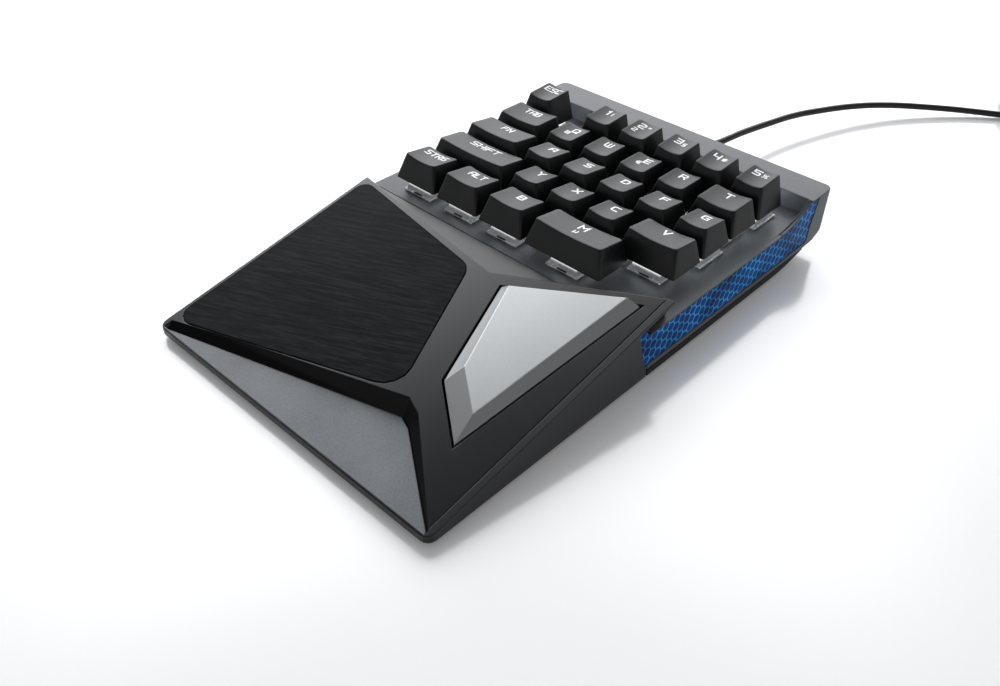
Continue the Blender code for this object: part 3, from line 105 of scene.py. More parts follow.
# Sizes of the grain, lines and patches in the finishes
HANDLED_PATCH = 12.0 * MM
GRAIN_RELIEF = 0.05
GRAIN_GLOSSIER = 0.05
GRAIN_DULLER = 0.07
LACQUER_PATCH = 20.0 * MM
FLAKE_WEIGHT = 0.55
PEEL_WAVE = 0.9 * MM
PEEL_DEPTH = 0.001 * MM
EDGE_SHINE_RADIUS = 0.5 * MM
EDGE_SHINE_SAMPLES = 6
FACET_CROWN = (0.0, -0.3, 0.0)
BRUSH_DEGREES = 22.0
HAIRLINE = (90.0 * MM, 0.4 * MM, 0.4 * MM)
HAIRLINE_DEPTH = 0.03 * MM
BRUSH_BAND = (140.0 * MM, 1.1 * MM, 1.1 * MM)
FLOW_LINE = 2.5 * MM
SWITCH_DARK_BELOW = 2.4 * MM
SWITCH_DARK_GLOW = 0.05
SWITCH_GLOW = 6.0
RESIN_PATCH = 3.0 * MM
HEX_PITCH = 3.9 * MM
HEX_LINE = 0.42 * MM
HEX_RELIEF = 0.06 * MM
HEX_GLOW = 0.8
WINDOW_LAMP = (10.0 * MM, 16.0 * MM, 10.0 * MM)
LEGEND_PATCH = 1.5 * MM
LEGEND_GLOW = 0.25
RUBBED_GRAINS = 12
SKIN_RELIEF = 0.06
SKIN_GLOSSIER = 0.08
SKIN_DULLER = 0.12
CLOTH_THREAD = 0.5 * MM
CLOTH_RELIEF = 0.02 * MM
ROLLED_LINE = (5.0 * MM, 0.25 * MM, 0.25 * MM)
ROLLED_DEPTH = 0.01 * MM
PLATE_GLOSSIER = 0.08
PLATE_DULLER = 0.1
# Most values of a noise pattern lie between these two
NOISE_LOW, NOISE_HIGH = 0.3, 0.7
BLACK = (0.0, 0.0, 0.0, 1.0)
WHITE = (1.0, 1.0, 1.0, 1.0)


# Materials
def spark_eroded_abs(name, dark, light, grain, rough, specular):
    """ABS moulded against a spark-eroded tool: an even pebble grain that spreads each highlight,
    over faint patches of tone from handling. The real grain is about 0.1 mm, too fine to show,
    so it is drawn a few times coarser. Nylon and POM are moulded the same way, and a printed
    black mask keeps the grain under it."""
    material, tree, place = new_material(name)
    patch = add(tree, "TexNoise", {"Vector": place, "Scale": 1 / HANDLED_PATCH, "Detail": 3.0})
    pebble = add(tree, "TexNoise", {"Vector": place, "Scale": 1 / grain, "Detail": 2.0, "Roughness": 0.6})
    tone = add(tree, "MapRange", {"Value": patch, "From Min": NOISE_LOW, "From Max": NOISE_HIGH})
    colour = add(tree, "MixRGB", {"Fac": tone, "Color1": hex_color(dark), "Color2": hex_color(light)})
    gloss = add(
        tree,
        "MapRange",
        {
            "Value": pebble,
            "From Min": NOISE_LOW,
            "From Max": NOISE_HIGH,
            "To Min": rough - GRAIN_GLOSSIER,
            "To Max": rough + GRAIN_DULLER,
        },
    )
    bump = add(tree, "Bump", {"Height": pebble, "Distance": grain * GRAIN_RELIEF})
    return surface(
        material,
        tree,
        {"Base Color": colour, "Roughness": gloss, "Normal": bump, "Specular IOR Level": specular},
    )


def flake_lacquer(name, dark, light, flake_size, rough, metallic, specular=0.5, sparkle=0.02, lean=None):
    """Lacquer with metal flake in it, sprayed on: bright and dark specks within one tone, more or
    less glossy by their sparkle, and an orange-peel wave of under a millimetre that bends its
    reflections. The real flake is about 0.05 mm, too fine to show, so it is drawn a few times
    coarser. Lacquer draws back from an edge and rounds it, so each edge shines as a fine line. A
    lean tips the shine of a slightly crowned face."""
    material, tree, place = new_material(name)
    flakes = add(tree, "TexVoronoi", {"Vector": place, "Scale": 1 / flake_size})
    speck = add(tree, "SeparateColor", {"Color": flakes.outputs["Color"]})
    patch = add(tree, "TexNoise", {"Vector": place, "Scale": 1 / LACQUER_PATCH, "Detail": 3.0})
    both = add(tree, "Math", {0: speck, 1: FLAKE_WEIGHT, 2: patch}, operation="MULTIPLY_ADD")
    tone = add(tree, "MapRange", {"Value": both, "From Min": 0.35, "From Max": 1.1})
    colour = add(tree, "MixRGB", {"Fac": tone, "Color1": hex_color(dark), "Color2": hex_color(light)})
    gloss = add(tree, "MapRange", {"Value": speck, "To Min": rough - sparkle, "To Max": rough + sparkle})
    peel = add(tree, "TexNoise", {"Vector": place, "Scale": 1 / PEEL_WAVE, "Detail": 1.0})
    shape = add(tree, "Bevel", {"Radius": EDGE_SHINE_RADIUS}, samples=EDGE_SHINE_SAMPLES)
    if lean:
        crowned = add(tree, "VectorMath", {0: shape, 1: lean}, operation="ADD")
        shape = add(tree, "VectorMath", {0: crowned}, operation="NORMALIZE")
    bump = add(tree, "Bump", {"Height": peel, "Distance": PEEL_DEPTH, "Normal": shape})
    return surface(
        material,
        tree,
        {
            "Base Color": colour,
            "Roughness": gloss,
            "Normal": bump,
            "Metallic": metallic,
            "Specular IOR Level": specular,
        },
    )


def hairline_anodised_plate(name):
    """Black anodised aluminium, brushed slantwise from side to side: hairlines centimetres long,
    in broad bands a little lighter or darker than the next. The real hairlines are about 0.1 mm
    apart, too fine to show, so they are drawn a few times coarser."""
    material, tree, place = new_material(name)
    turn = (0.0, 0.0, math.radians(BRUSH_DEGREES))
    fine = add(
        tree, "Mapping", {"Vector": place, "Rotation": turn, "Scale": HAIRLINE}, vector_type="TEXTURE"
    )
    hairs = add(tree, "TexNoise", {"Vector": fine, "Scale": 1.0, "Detail": 3.0, "Roughness": 0.6})
    broad = add(
        tree, "Mapping", {"Vector": place, "Rotation": turn, "Scale": BRUSH_BAND}, vector_type="TEXTURE"
    )
    bands = add(tree, "TexNoise", {"Vector": broad, "Scale": 1.0, "Detail": 2.0})
    both = add(tree, "Math", {0: hairs, 1: bands}, operation="MULTIPLY")
    tone = add(tree, "MapRange", {"Value": both, "From Min": 0.17, "From Max": 0.4})
    dark, light = hex_color("#060707"), hex_color("#26292b")
    colour = add(tree, "MixRGB", {"Fac": tone, "Color1": dark, "Color2": light})
    gloss = add(
        tree,
        "MapRange",
        {"Value": hairs, "From Min": NOISE_LOW, "From Max": NOISE_HIGH, "To Min": 0.4, "To Max": 0.58},
    )
    bump = add(tree, "Bump", {"Height": hairs, "Distance": HAIRLINE_DEPTH})
    return surface(
        material,
        tree,
        {"Base Color": colour, "Roughness": gloss, "Normal": bump, "Specular IOR Level": 0.04},
    )


def clear_polycarbonate(name):
    """Clear polycarbonate, moulded thick: it looks milky grey, with a wet gloss and faint flow lines. The
    light of its lamp shining through it is painted on as a glow that grows towards its top, though the
    housing itself is no lamp."""
    material, tree, place = new_material(name)
    flow = add(
        tree, "TexNoise", {"Vector": place, "Scale": 1 / FLOW_LINE, "Detail": 3.0, "Distortion": 1.5}
    )
    dark, light = hex_color("#6c6e70"), hex_color("#a3a5a6")
    colour = add(tree, "MixRGB", {"Fac": flow, "Color1": dark, "Color2": light})
    gloss = add(tree, "MapRange", {"Value": flow, "To Min": 0.15, "To Max": 0.35})
    # Painted glow: the housing emits more towards its top, standing in for its lamp's light through it
    height = add(tree, "SeparateXYZ", {"Vector": place}).outputs["Z"]
    lit = add(
        tree,
        "MapRange",
        {
            "Value": height,
            "From Min": DECK_Z + SWITCH_DARK_BELOW,
            "From Max": SWITCH_TOP_Z,
            "To Min": SWITCH_DARK_GLOW,
            "To Max": SWITCH_GLOW,
        },
        interpolation_type="SMOOTHSTEP",
    )
    return surface(
        material,
        tree,
        {
            "Base Color": colour,
            "Roughness": gloss,
            "IOR": 1.58,
            "Transmission Weight": 0.2,
            "Emission Color": hex_color("#f2f5f7"),
            "Emission Strength": lit,
        },
    )


def lamp_epoxy(name, dark, light, strength):
    """Clear epoxy cast over a lamp: it glows, a little brighter where the resin is thinner."""
    material, tree, place = new_material(name)
    patch = add(tree, "TexNoise", {"Vector": place, "Scale": 1 / RESIN_PATCH, "Detail": 2.0})
    colour = add(tree, "MixRGB", {"Fac": patch, "Color1": hex_color(dark), "Color2": hex_color(light)})
    return surface(
        material,
        tree,
        {"Base Color": colour, "Emission Color": colour, "Emission Strength": strength, "Roughness": 0.3},
    )


def honeycomb_acrylic(name):
    """Tinted acrylic moulded with a honeycomb of raised lines, lit from behind: dark blue cells,
    brighter where a lamp stands behind, between thin pale lines."""
    material, tree, place = new_material(name)
    axes = add(tree, "SeparateXYZ", {"Vector": place})
    # How far a place is from the middle of its cell, as a share of the pitch: the cells stand in
    # two upright grids, the second half a step on from the first
    nearest = 1.0
    for offset in (0.0, 0.5):
        spans = []
        for axis, step in (("Y", HEX_PITCH * math.sqrt(3)), ("Z", HEX_PITCH)):
            turns = add(
                tree, "Math", {0: axes.outputs[axis], 1: 1 / step, 2: offset}, operation="MULTIPLY_ADD"
            )
            share = add(tree, "Math", {0: turns}, operation="FRACT")
            centred = add(tree, "Math", {0: share, 1: 0.5}, operation="SUBTRACT")
            size = add(tree, "Math", {0: centred}, operation="ABSOLUTE")
            spans.append(add(tree, "Math", {0: size, 1: step / HEX_PITCH}, operation="MULTIPLY"))
        across, up = spans
        half_up = add(tree, "Math", {0: up, 1: 0.5}, operation="MULTIPLY")
        slanted = add(
            tree, "Math", {0: across, 1: math.sqrt(3) / 2, 2: half_up}, operation="MULTIPLY_ADD"
        )
        reach = add(tree, "Math", {0: up, 1: slanted}, operation="MAXIMUM")
        nearest = add(tree, "Math", {0: nearest, 1: reach}, operation="MINIMUM")
    width = HEX_LINE / HEX_PITCH
    line = add(
        tree, "MapRange", {"Value": nearest, "From Min": 0.5 - width, "From Max": 0.5 - width / 4}
    )
    spread = add(tree, "Mapping", {"Vector": place, "Scale": WINDOW_LAMP}, vector_type="TEXTURE")
    lamps = add(tree, "TexNoise", {"Vector": spread, "Scale": 1.0, "Detail": 2.0})
    lit = add(tree, "MapRange", {"Value": lamps, "From Min": 0.35, "From Max": 0.65})
    dark_cell, lit_cell = hex_color("#061c40"), hex_color("#0b3c78")
    cell = add(tree, "MixRGB", {"Fac": lit, "Color1": dark_cell, "Color2": lit_cell})
    dark_edge, lit_edge = hex_color("#1b5790"), hex_color("#3a90cc")
    edge = add(tree, "MixRGB", {"Fac": lit, "Color1": dark_edge, "Color2": lit_edge})
    glow = add(tree, "MixRGB", {"Fac": line, "Color1": cell, "Color2": edge})
    cell_tint, line_tint = hex_color("#05070c"), hex_color("#0b1624")
    tint = add(tree, "MixRGB", {"Fac": line, "Color1": cell_tint, "Color2": line_tint})
    bump = add(tree, "Bump", {"Height": line, "Distance": HEX_RELIEF})
    return surface(
        material,
        tree,
        {
            "Base Color": tint,
            "Emission Color": glow,
            "Emission Strength": HEX_GLOW,
            "Roughness": 0.3,
            "IOR": 1.49,
            "Specular IOR Level": 0.03,
            "Normal": bump,
        },
    )


def laser_cut_legend(name):
    """Legends burnt through the black coat to white translucent ABS, glowing a little unevenly."""
    material, tree, place = new_material(name)
    patchy = add(tree, "TexNoise", {"Vector": place, "Scale": 1 / LEGEND_PATCH, "Detail": 2.0})
    dark, light = hex_color("#cfd3d5"), hex_color("#f4f6f6")
    colour = add(tree, "MixRGB", {"Fac": patchy, "Color1": dark, "Color2": light})
    return surface(
        material,
        tree,
        {
            "Base Color": colour,
            "Emission Color": colour,
            "Emission Strength": LEGEND_GLOW,
            "Roughness": 0.5,
        },
    )


def soft_pvc(name, dark, light, grain, rough):
    """Soft PVC or rubber: a dull skin with a faint grain, rubbed glossier in patches."""
    material, tree, place = new_material(name)
    rubbed = add(tree, "TexNoise", {"Vector": place, "Scale": 1 / (grain * RUBBED_GRAINS), "Detail": 3.0})
    skin = add(tree, "TexNoise", {"Vector": place, "Scale": 1 / grain, "Detail": 2.0})
    colour = add(tree, "MixRGB", {"Fac": rubbed, "Color1": hex_color(dark), "Color2": hex_color(light)})
    gloss = add(
        tree,
        "MapRange",
        {"Value": rubbed, "To Min": rough - SKIN_GLOSSIER, "To Max": rough + SKIN_DULLER},
    )
    bump = add(tree, "Bump", {"Height": skin, "Distance": grain * SKIN_RELIEF})
    return surface(
        material,
        tree,
        {"Base Color": colour, "Roughness": gloss, "Normal": bump, "Specular IOR Level": 0.35},
    )


def masked_fibreglass(name):
    """Glass-fibre laminate under black solder mask: a faint square weave under a wet gloss.
    The real cloth has about two threads a millimetre."""
    material, tree, place = new_material(name)
    weave = add(
        tree, "TexChecker", {"Vector": place, "Scale": 1 / CLOTH_THREAD, "Color1": BLACK, "Color2": WHITE}
    )
    dark, light = hex_color("#0b120f"), hex_color("#131f1a")
    colour = add(tree, "MixRGB", {"Fac": weave, "Color1": dark, "Color2": light})
    bump = add(tree, "Bump", {"Height": weave, "Distance": CLOTH_RELIEF})
    return surface(material, tree, {"Base Color": colour, "Roughness": 0.3, "Normal": bump})


def plated_steel(name, dark, light, rough):
    """Rolled steel, plated: fine lines along the rolling, and gloss that changes with the plating."""
    material, tree, place = new_material(name)
    along = add(tree, "Mapping", {"Vector": place, "Scale": ROLLED_LINE}, vector_type="TEXTURE")
    rolled = add(tree, "TexNoise", {"Vector": along, "Scale": 1.0, "Detail": 3.0})
    colour = add(tree, "MixRGB", {"Fac": rolled, "Color1": hex_color(dark), "Color2": hex_color(light)})
    gloss = add(
        tree,
        "MapRange",
        {"Value": rolled, "To Min": rough - PLATE_GLOSSIER, "To Max": rough + PLATE_DULLER},
    )
    bump = add(tree, "Bump", {"Height": rolled, "Distance": ROLLED_DEPTH})
    return surface(
        material,
        tree,
        {"Base Color": colour, "Roughness": gloss, "Normal": bump, "Metallic": 1.0},
    )


# The finishes of the keypad's pieces, among them lighter and darker copies that paint light and shade
# The caps' tops take a lighter copy of the skirt's plastic: painted light on the tops
CAP_SKIRT_PLASTIC = spark_eroded_abs("keycap_skirt_moulded_abs", "#0c0d0e", "#121315", 0.4 * MM, 0.32, 0.22)
CAP_TOP_LIT_PLASTIC = spark_eroded_abs("keycap_top_painted_light_abs", "#17191c", "#1f2225", 0.4 * MM, 0.42, 0.2)
LEGEND_WHITE = laser_cut_legend("legend_laser_cut_abs")
SLIDER_PLASTIC = spark_eroded_abs("slider_moulded_pom", "#3a2c26", "#4a3931", 0.4 * MM, 0.35, 0.4)
SWITCH_CLEAR = clear_polycarbonate("switch_clear_polycarbonate")
LATCH_PLASTIC = spark_eroded_abs("switch_latch_black_nylon", "#0d0b0a", "#1a1613", 0.4 * MM, 0.45, 0.3)
KEY_LAMP = lamp_epoxy("key_lamp_white_epoxy", "#dfe6f0", "#ffffff", 30.0)
FRAME_PAINT = flake_lacquer("frame_gunmetal_lacquer", "#4b4e52", "#595c60", 0.3 * MM, 0.36, 0.08, 0.13)
REST_PAINT = flake_lacquer("rest_dark_grey_lacquer", "#0e0f11", "#131517", 0.3 * MM, 0.2, 0.06, 0.38)
# The facet along the deck takes a lighter copy of the rest's lacquer: painted light on the facet
FACET_LIT_PAINT = flake_lacquer(
    "rest_facet_painted_light_lacquer", "#15171a", "#191b1e", 0.3 * MM, 0.3, 0.06, 0.5, 0.01, FACET_CROWN
)
# The moulding down the right side takes a lighter copy of the rest's lacquer: painted light
MOULDING_LIT_PAINT = flake_lacquer(
    "side_moulding_painted_light_lacquer", "#1b1c1e", "#202123", 0.3 * MM, 0.3, 0.06, 0.3
)
# The front recess's walls take a near-black copy of the rest's lacquer with little shine: painted shade in
# the recess
RECESS_SHADE_PAINT = flake_lacquer("recess_painted_shade_lacquer", "#030304", "#060607", 0.3 * MM, 0.16, 0.0, 0.1)
PANEL_PAINT = flake_lacquer(
    "panel_grey_metallic_lacquer", "#3f4246", "#5e6266", 0.32 * MM, 0.42, 0.25, 0.5, 0.05
)
BAR_PAINT = flake_lacquer("thumb_bar_silver_lacquer", "#989a9b", "#9ea0a1", 0.28 * MM, 0.3, 0.7, 0.35)
PAD_PLATE = hairline_anodised_plate("pad_brushed_anodised_aluminium")
CASE_PLASTIC = spark_eroded_abs("case_moulded_black_abs", "#08090a", "#0f1011", 0.5 * MM, 0.5, 0.2)
WINDOW_ACRYLIC = honeycomb_acrylic("window_lit_blue_acrylic")
WINDOW_MASK = spark_eroded_abs("window_edge_screen_printed_black", "#060607", "#0b0c0d", 0.4 * MM, 0.5, 0.1)
BOARD_LAMINATE = masked_fibreglass("board_masked_fibreglass")
STRIP_RESIN = lamp_epoxy("lamp_strip_blue_epoxy", "#4f9fe0", "#bfe6ff", 1.5)
FOOT_RUBBER = soft_pvc("foot_moulded_rubber", "#121212", "#1d1d1d", 0.4 * MM, 0.75)
CORD_PVC = soft_pvc("lead_extruded_pvc", "#0a0a0b", "#131314", 0.3 * MM, 0.38)
SCREW_STEEL = plated_steel("screw_black_zinc_steel", "#2c2d2f", "#44464a", 0.35)
SHELL_STEEL = plated_steel("plug_shell_nickel_steel", "#b9babc", "#d6d7d9", 0.22)


# Camera, at the photograph's angle
CAMERA_PLACE = (209.58 * MM, -233.65 * MM, 227.04 * MM)
CAMERA_AZIMUTH = 42.788
CAMERA_ELEVATION = 39.283
CAMERA_ROLL = 1.032
CAMERA_LENS = 34.49
CAMERA_NEAR = 10.0 * MM
CAMERA_FAR = 20.0


def make_camera():
    """The photograph's camera, placed and turned as the keycaps' corners show it."""
    azimuth, elevation = math.radians(CAMERA_AZIMUTH), math.radians(CAMERA_ELEVATION)
    roll = math.radians(CAMERA_ROLL)
    right = Vector((math.cos(azimuth), math.sin(azimuth), 0.0))
    ahead = Vector(
        (
            -math.sin(azimuth) * math.cos(elevation),
            math.cos(azimuth) * math.cos(elevation),
            -math.sin(elevation),
        )
    )
    up = right.cross(ahead)
    turned_right = right * math.cos(roll) + up * math.sin(roll)
    turned_up = up * math.cos(roll) - right * math.sin(roll)
    data = bpy.data.cameras.new("photo_camera")
    data.lens = CAMERA_LENS
    data.clip_start = CAMERA_NEAR
    data.clip_end = CAMERA_FAR
    camera = bpy.data.objects.new("photo_camera", data)
    bpy.context.scene.collection.objects.link(camera)
    columns = Matrix((turned_right, turned_up, -ahead)).transposed()
    camera.matrix_world = Matrix.Translation(CAMERA_PLACE) @ columns.to_4x4()
    bpy.context.scene.camera = camera


make_camera()


# Making pieces
SHARP_DEGREES = 32.0
EDGE_SEGMENTS = 2
ROUND_PROFILE = 0.5



def add_piece(name, mesh, body, materials, replaced=()):
    """Links a mesh as a piece of a body, with its finish and what it stands for."""
    piece = bpy.data.objects.new(name, mesh)
    bpy.context.scene.collection.objects.link(piece)
    for material in materials:
        mesh.materials.append(material)
    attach(piece, body)
    if replaced:
        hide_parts(*replaced)
    return piece


def finished(bm, name, angle=SHARP_DEGREES):
    """The mesh, shaded smooth up to its sharp edges."""
    bmesh.ops.recalc_face_normals(bm, faces=bm.faces[:])
    bm.normal_update()
    for face in bm.faces:
        face.smooth = True
    for edge in bm.edges:
        edge.smooth = edge.calc_face_angle(math.pi) < math.radians(angle)
    mesh = bpy.data.meshes.new(name)
    bm.to_mesh(mesh)
    bm.free()
    return mesh


# The lead: a smooth curve through the route's own points, then the coil and its tail
CORD_DIAMETER = 3.2 * MM
CORD_ROUND_STEPS = 4
CORD_EXIT_HEIGHT = 12.0 * MM
CORD_GAP = 0.3 * MM
CORD_POINT_GAP = 6.4 * MM
CORD_ROUTE = (
    (0.4 * MM, 138.0 * MM, 11.8 * MM),
    (1.6 * MM, 146.0 * MM, 11.6 * MM),
    (2.9 * MM, 160.0 * MM, 11.2 * MM),
    (4.5 * MM, 171.0 * MM, 10.7 * MM),
    (6.5 * MM, 182.0 * MM, 10.3 * MM),
    (8.5 * MM, 193.2 * MM, 9.8 * MM),
    (11.2 * MM, 204.0 * MM, 9.2 * MM),
    (15.7 * MM, 216.5 * MM, 8.4 * MM),
    (20.7 * MM, 228.8 * MM, 7.6 * MM),
    (28.0 * MM, 242.8 * MM, 6.6 * MM),
    (37.0 * MM, 255.8 * MM, 5.4 * MM),
    (48.0 * MM, 267.8 * MM, 4.2 * MM),
    (60.0 * MM, 278.8 * MM, 3.2 * MM),
    (73.0 * MM, 288.8 * MM, 2.3 * MM),
    (86.0 * MM, 297.0 * MM, 1.8 * MM),
)
COIL_ENTRY = (104.0 * MM, 306.4 * MM, 1.8 * MM)
COIL_HEADING = math.radians(27.0)
COIL_OUTER_RADIUS = 24.6 * MM
COIL_SPIRAL_STEP = 4.2 * MM
COIL_LAYER_STEP = 3.9 * MM
COIL_LAYERS = 4
COIL_TURNS_PER_LAYER = 3.125
COIL_CLIMB_TURNS = 0.5
COIL_POINTS_PER_TURN = 24
TAIL_LENGTH = 52.0 * MM
TAIL_POINTS = 16
PLUG_HALF_HEIGHT = 4.0 * MM
HEADING = Vector((math.cos(COIL_HEADING), math.sin(COIL_HEADING), 0.0))


def smooth_curve(route, gap):
    """Points about one gap apart on the centripetal spline through the route."""
    ends = [route[0] * 2 - route[1], *route, route[-1] * 2 - route[-2]]
    dense = []
    for a, b, c, d in zip(ends, ends[1:], ends[2:], ends[3:]):
        knots = [0.0]
        for first, second in ((a, b), (b, c), (c, d)):
            knots.append(knots[-1] + math.sqrt((second - first).length))
        steps = max(1, round((c - b).length / gap))
        for step in range(steps):
            t = knots[1] + (knots[2] - knots[1]) * step / steps
            low = [
                p + (q - p) * ((t - knots[i]) / (knots[i + 1] - knots[i]))
                for i, (p, q) in enumerate(((a, b), (b, c), (c, d)))
            ]
            middle = [
                p + (q - p) * ((t - knots[i]) / (knots[i + 2] - knots[i]))
                for i, (p, q) in enumerate(((low[0], low[1]), (low[1], low[2])))
            ]
            dense.append(middle[0] + (middle[1] - middle[0]) * ((t - knots[1]) / (knots[2] - knots[1])))
    return [*dense, route[-1]]


def ease(share):
    """A share that starts and ends gently."""
    return share * share * (3 - 2 * share)


def coil_points(entry):
    """Loops that spiral in and out in turn and climb a layer in each half turn between."""
    start = entry + HEADING * CORD_DIAMETER
    phase = COIL_HEADING - math.pi / 2
    centre = start - Vector((math.cos(phase), math.sin(phase), 0.0)) * COIL_OUTER_RADIUS
    inner_radius = COIL_OUTER_RADIUS - COIL_SPIRAL_STEP * COIL_TURNS_PER_LAYER
    period = COIL_TURNS_PER_LAYER + COIL_CLIMB_TURNS
    total = period * COIL_LAYERS - COIL_CLIMB_TURNS
    points = [entry]
    for step in range(round(total * COIL_POINTS_PER_TURN) + 1):
        turns = step / COIL_POINTS_PER_TURN
        layer = min(int(turns / period), COIL_LAYERS - 1)
        within = turns - layer * period
        spiral = min(within / COIL_TURNS_PER_LAYER, 1.0)
        climb = max(within - COIL_TURNS_PER_LAYER, 0.0) / COIL_CLIMB_TURNS
        inward = spiral if layer % 2 == 0 else 1 - spiral
        radius = COIL_OUTER_RADIUS + (inner_radius - COIL_OUTER_RADIUS) * inward
        angle = phase + turns * math.tau
        height = start.z + COIL_LAYER_STEP * (layer + ease(climb))
        x = centre.x + radius * math.cos(angle)
        y = centre.y + radius * math.sin(angle)
        points.append(Vector((x, y, height)))
    return points


def tail_points(start):
    """From the coil's top layer down to the plug's height, straight on in plan."""
    run = TAIL_LENGTH - CORD_DIAMETER
    points = []
    for step in range(1, TAIL_POINTS + 1):
        share = step / TAIL_POINTS
        place = start + HEADING * (run * share)
        place.z = start.z + (DESK_Z + PLUG_HALF_HEIGHT - start.z) * ease(share)
        points.append(place)
    points.append(points[-1] + HEADING * CORD_DIAMETER)
    return points


def make_lead():
    """The lead from its exit to the plug, with the place of its exit and its length."""
    relief_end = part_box("strain_relief")[1].y
    start = Vector((0.0, relief_end + CORD_GAP, CORD_EXIT_HEIGHT))
    entry = Vector(COIL_ENTRY)
    end = entry - HEADING * CORD_GAP
    route = [
        start,
        start + Vector((0.0, CORD_DIAMETER, 0.0)),
        *(Vector(point) for point in CORD_ROUTE),
        end - HEADING * CORD_DIAMETER,
        end,
    ]
    coil = coil_points(entry)
    line = smooth_curve(route, CORD_POINT_GAP) + coil + tail_points(coil[-1])
    curve = bpy.data.curves.new("lead", "CURVE")
    curve.dimensions = "3D"
    curve.bevel_depth = CORD_DIAMETER / 2
    curve.bevel_resolution = CORD_ROUND_STEPS
    curve.use_fill_caps = True
    spline = curve.splines.new("POLY")
    spline.points.add(len(line) - 1)
    for target, point in zip(spline.points, line):
        target.co = (*point, 1.0)
    curve.materials.append(CORD_PVC)
    lead = bpy.data.objects.new("lead", curve)
    bpy.context.scene.collection.objects.link(lead)
    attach(lead, HOUSING_BODY)
    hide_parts("cable", "cable_coil")
    length = sum((b - a).length for a, b in zip(line, line[1:]))
    return lead, start, length


lead, lead_start, lead_length = make_lead()


# Keycaps
CAP_CORNER_STEPS = 5
CAP_STEPS_ALONG_X = 12
CAP_STEPS_ALONG_Y = 5
CAP_SKIRT_CORNER = 0.9 * MM
CAP_TOP_CORNER = 1.3 * MM
CAP_FILLET = 0.45 * MM
CAP_FILLET_STEPS = 4
CAP_SKIRT_BREAK = 0.15 * MM
CAP_DISH = 0.9 * MM
CAP_WALL = 1.3 * MM
CAP_CEILING_BELOW_TOP = 3.0 * MM
CAP_TOP_RING_SHARES = (0.86, 0.66, 0.44, 0.22)
CAP_SHARP_DEGREES = 40.0
CORNER_SEARCH_LEAN = 0.3


class Cap:
    """The foot rectangle, the top's corners and the dished top surface of a CAD keycap."""

    def __init__(self, node):
        points = [vert.co for vert in NODES[node].data.vertices]
        low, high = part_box(node)
        self.node = node
        self.x = (low.x + high.x) / 2
        self.base_y = (low.y + high.y) / 2
        self.base_half = Vector(((high.x - low.x) / 2, (high.y - low.y) / 2))
        self.skirt_z = max(points, key=lambda p: p.x).z
        self.stem_low_z = low.z
        corners = {
            (sx, sy): max(points, key=lambda p: p.z + CORNER_SEARCH_LEAN * (sx * p.x + sy * p.y))
            for sx in (-1, 1)
            for sy in (-1, 1)
        }
        front, back = corners[1, -1], corners[1, 1]
        self.top_half = Vector((front.x - self.x, (back.y - front.y) / 2))
        self.top_y = (back.y + front.y) / 2
        self.front_z, self.back_z = front.z, back.z

    def surface(self, x, y):
        """The dished top's height over a place, level past the top's own edges."""
        sx = max(-1.0, min(1.0, (x - self.x) / self.top_half.x))
        sy = max(-1.0, min(1.0, (y - self.top_y) / self.top_half.y))
        rise = (1 + sy) / 2
        return self.front_z + (self.back_z - self.front_z) * rise - CAP_DISH * (1 - sx * sx)

    def outline(self, drop, inset):
        """The cap's outline at a depth below its top, drawn in by an inset."""
        share = drop / (max(self.front_z, self.back_z) - self.skirt_z)
        half = self.top_half + (self.base_half - self.top_half) * share
        middle_y = self.top_y + (self.base_y - self.top_y) * share
        corner = CAP_TOP_CORNER + (CAP_SKIRT_CORNER - CAP_TOP_CORNER) * share
        return rounded_rectangle(self.x, middle_y, half.x - inset, half.y - inset, corner)


def rounded_rectangle(x, y, half_x, half_y, radius):
    """Points round a rectangle with round corners, anticlockwise from its front right corner."""
    radius = min(radius, half_x, half_y)
    straight_x, straight_y = 2 * (half_x - radius), 2 * (half_y - radius)
    corners = (
        ((1, -1), (0.0, straight_y), CAP_STEPS_ALONG_Y),
        ((1, 1), (-straight_x, 0.0), CAP_STEPS_ALONG_X),
        ((-1, 1), (0.0, -straight_y), CAP_STEPS_ALONG_Y),
        ((-1, -1), (straight_x, 0.0), CAP_STEPS_ALONG_X),
    )
    points = []
    for quarter, ((sx, sy), side, steps) in enumerate(corners):
        middle = Vector((x + sx * (half_x - radius), y + sy * (half_y - radius)))
        start = (quarter - 1) * math.pi / 2
        for step in range(CAP_CORNER_STEPS + 1):
            angle = start + step / CAP_CORNER_STEPS * math.pi / 2
            points.append(middle + Vector((math.cos(angle), math.sin(angle))) * radius)
        last = points[-1]
        points.extend(last + Vector(side) * (step / steps) for step in range(1, steps))
    return points


def bridge(bm, rings, material_from=None):
    """Quads between rings of the same length. Those past material_from take the second material."""
    for index, (low, high) in enumerate(zip(rings, rings[1:])):
        for i, vert in enumerate(low):
            following = (i + 1) % len(low)
            face = bm.faces.new((vert, low[following], high[following], high[i]))
            face.material_index = int(material_from is not None and index >= material_from)


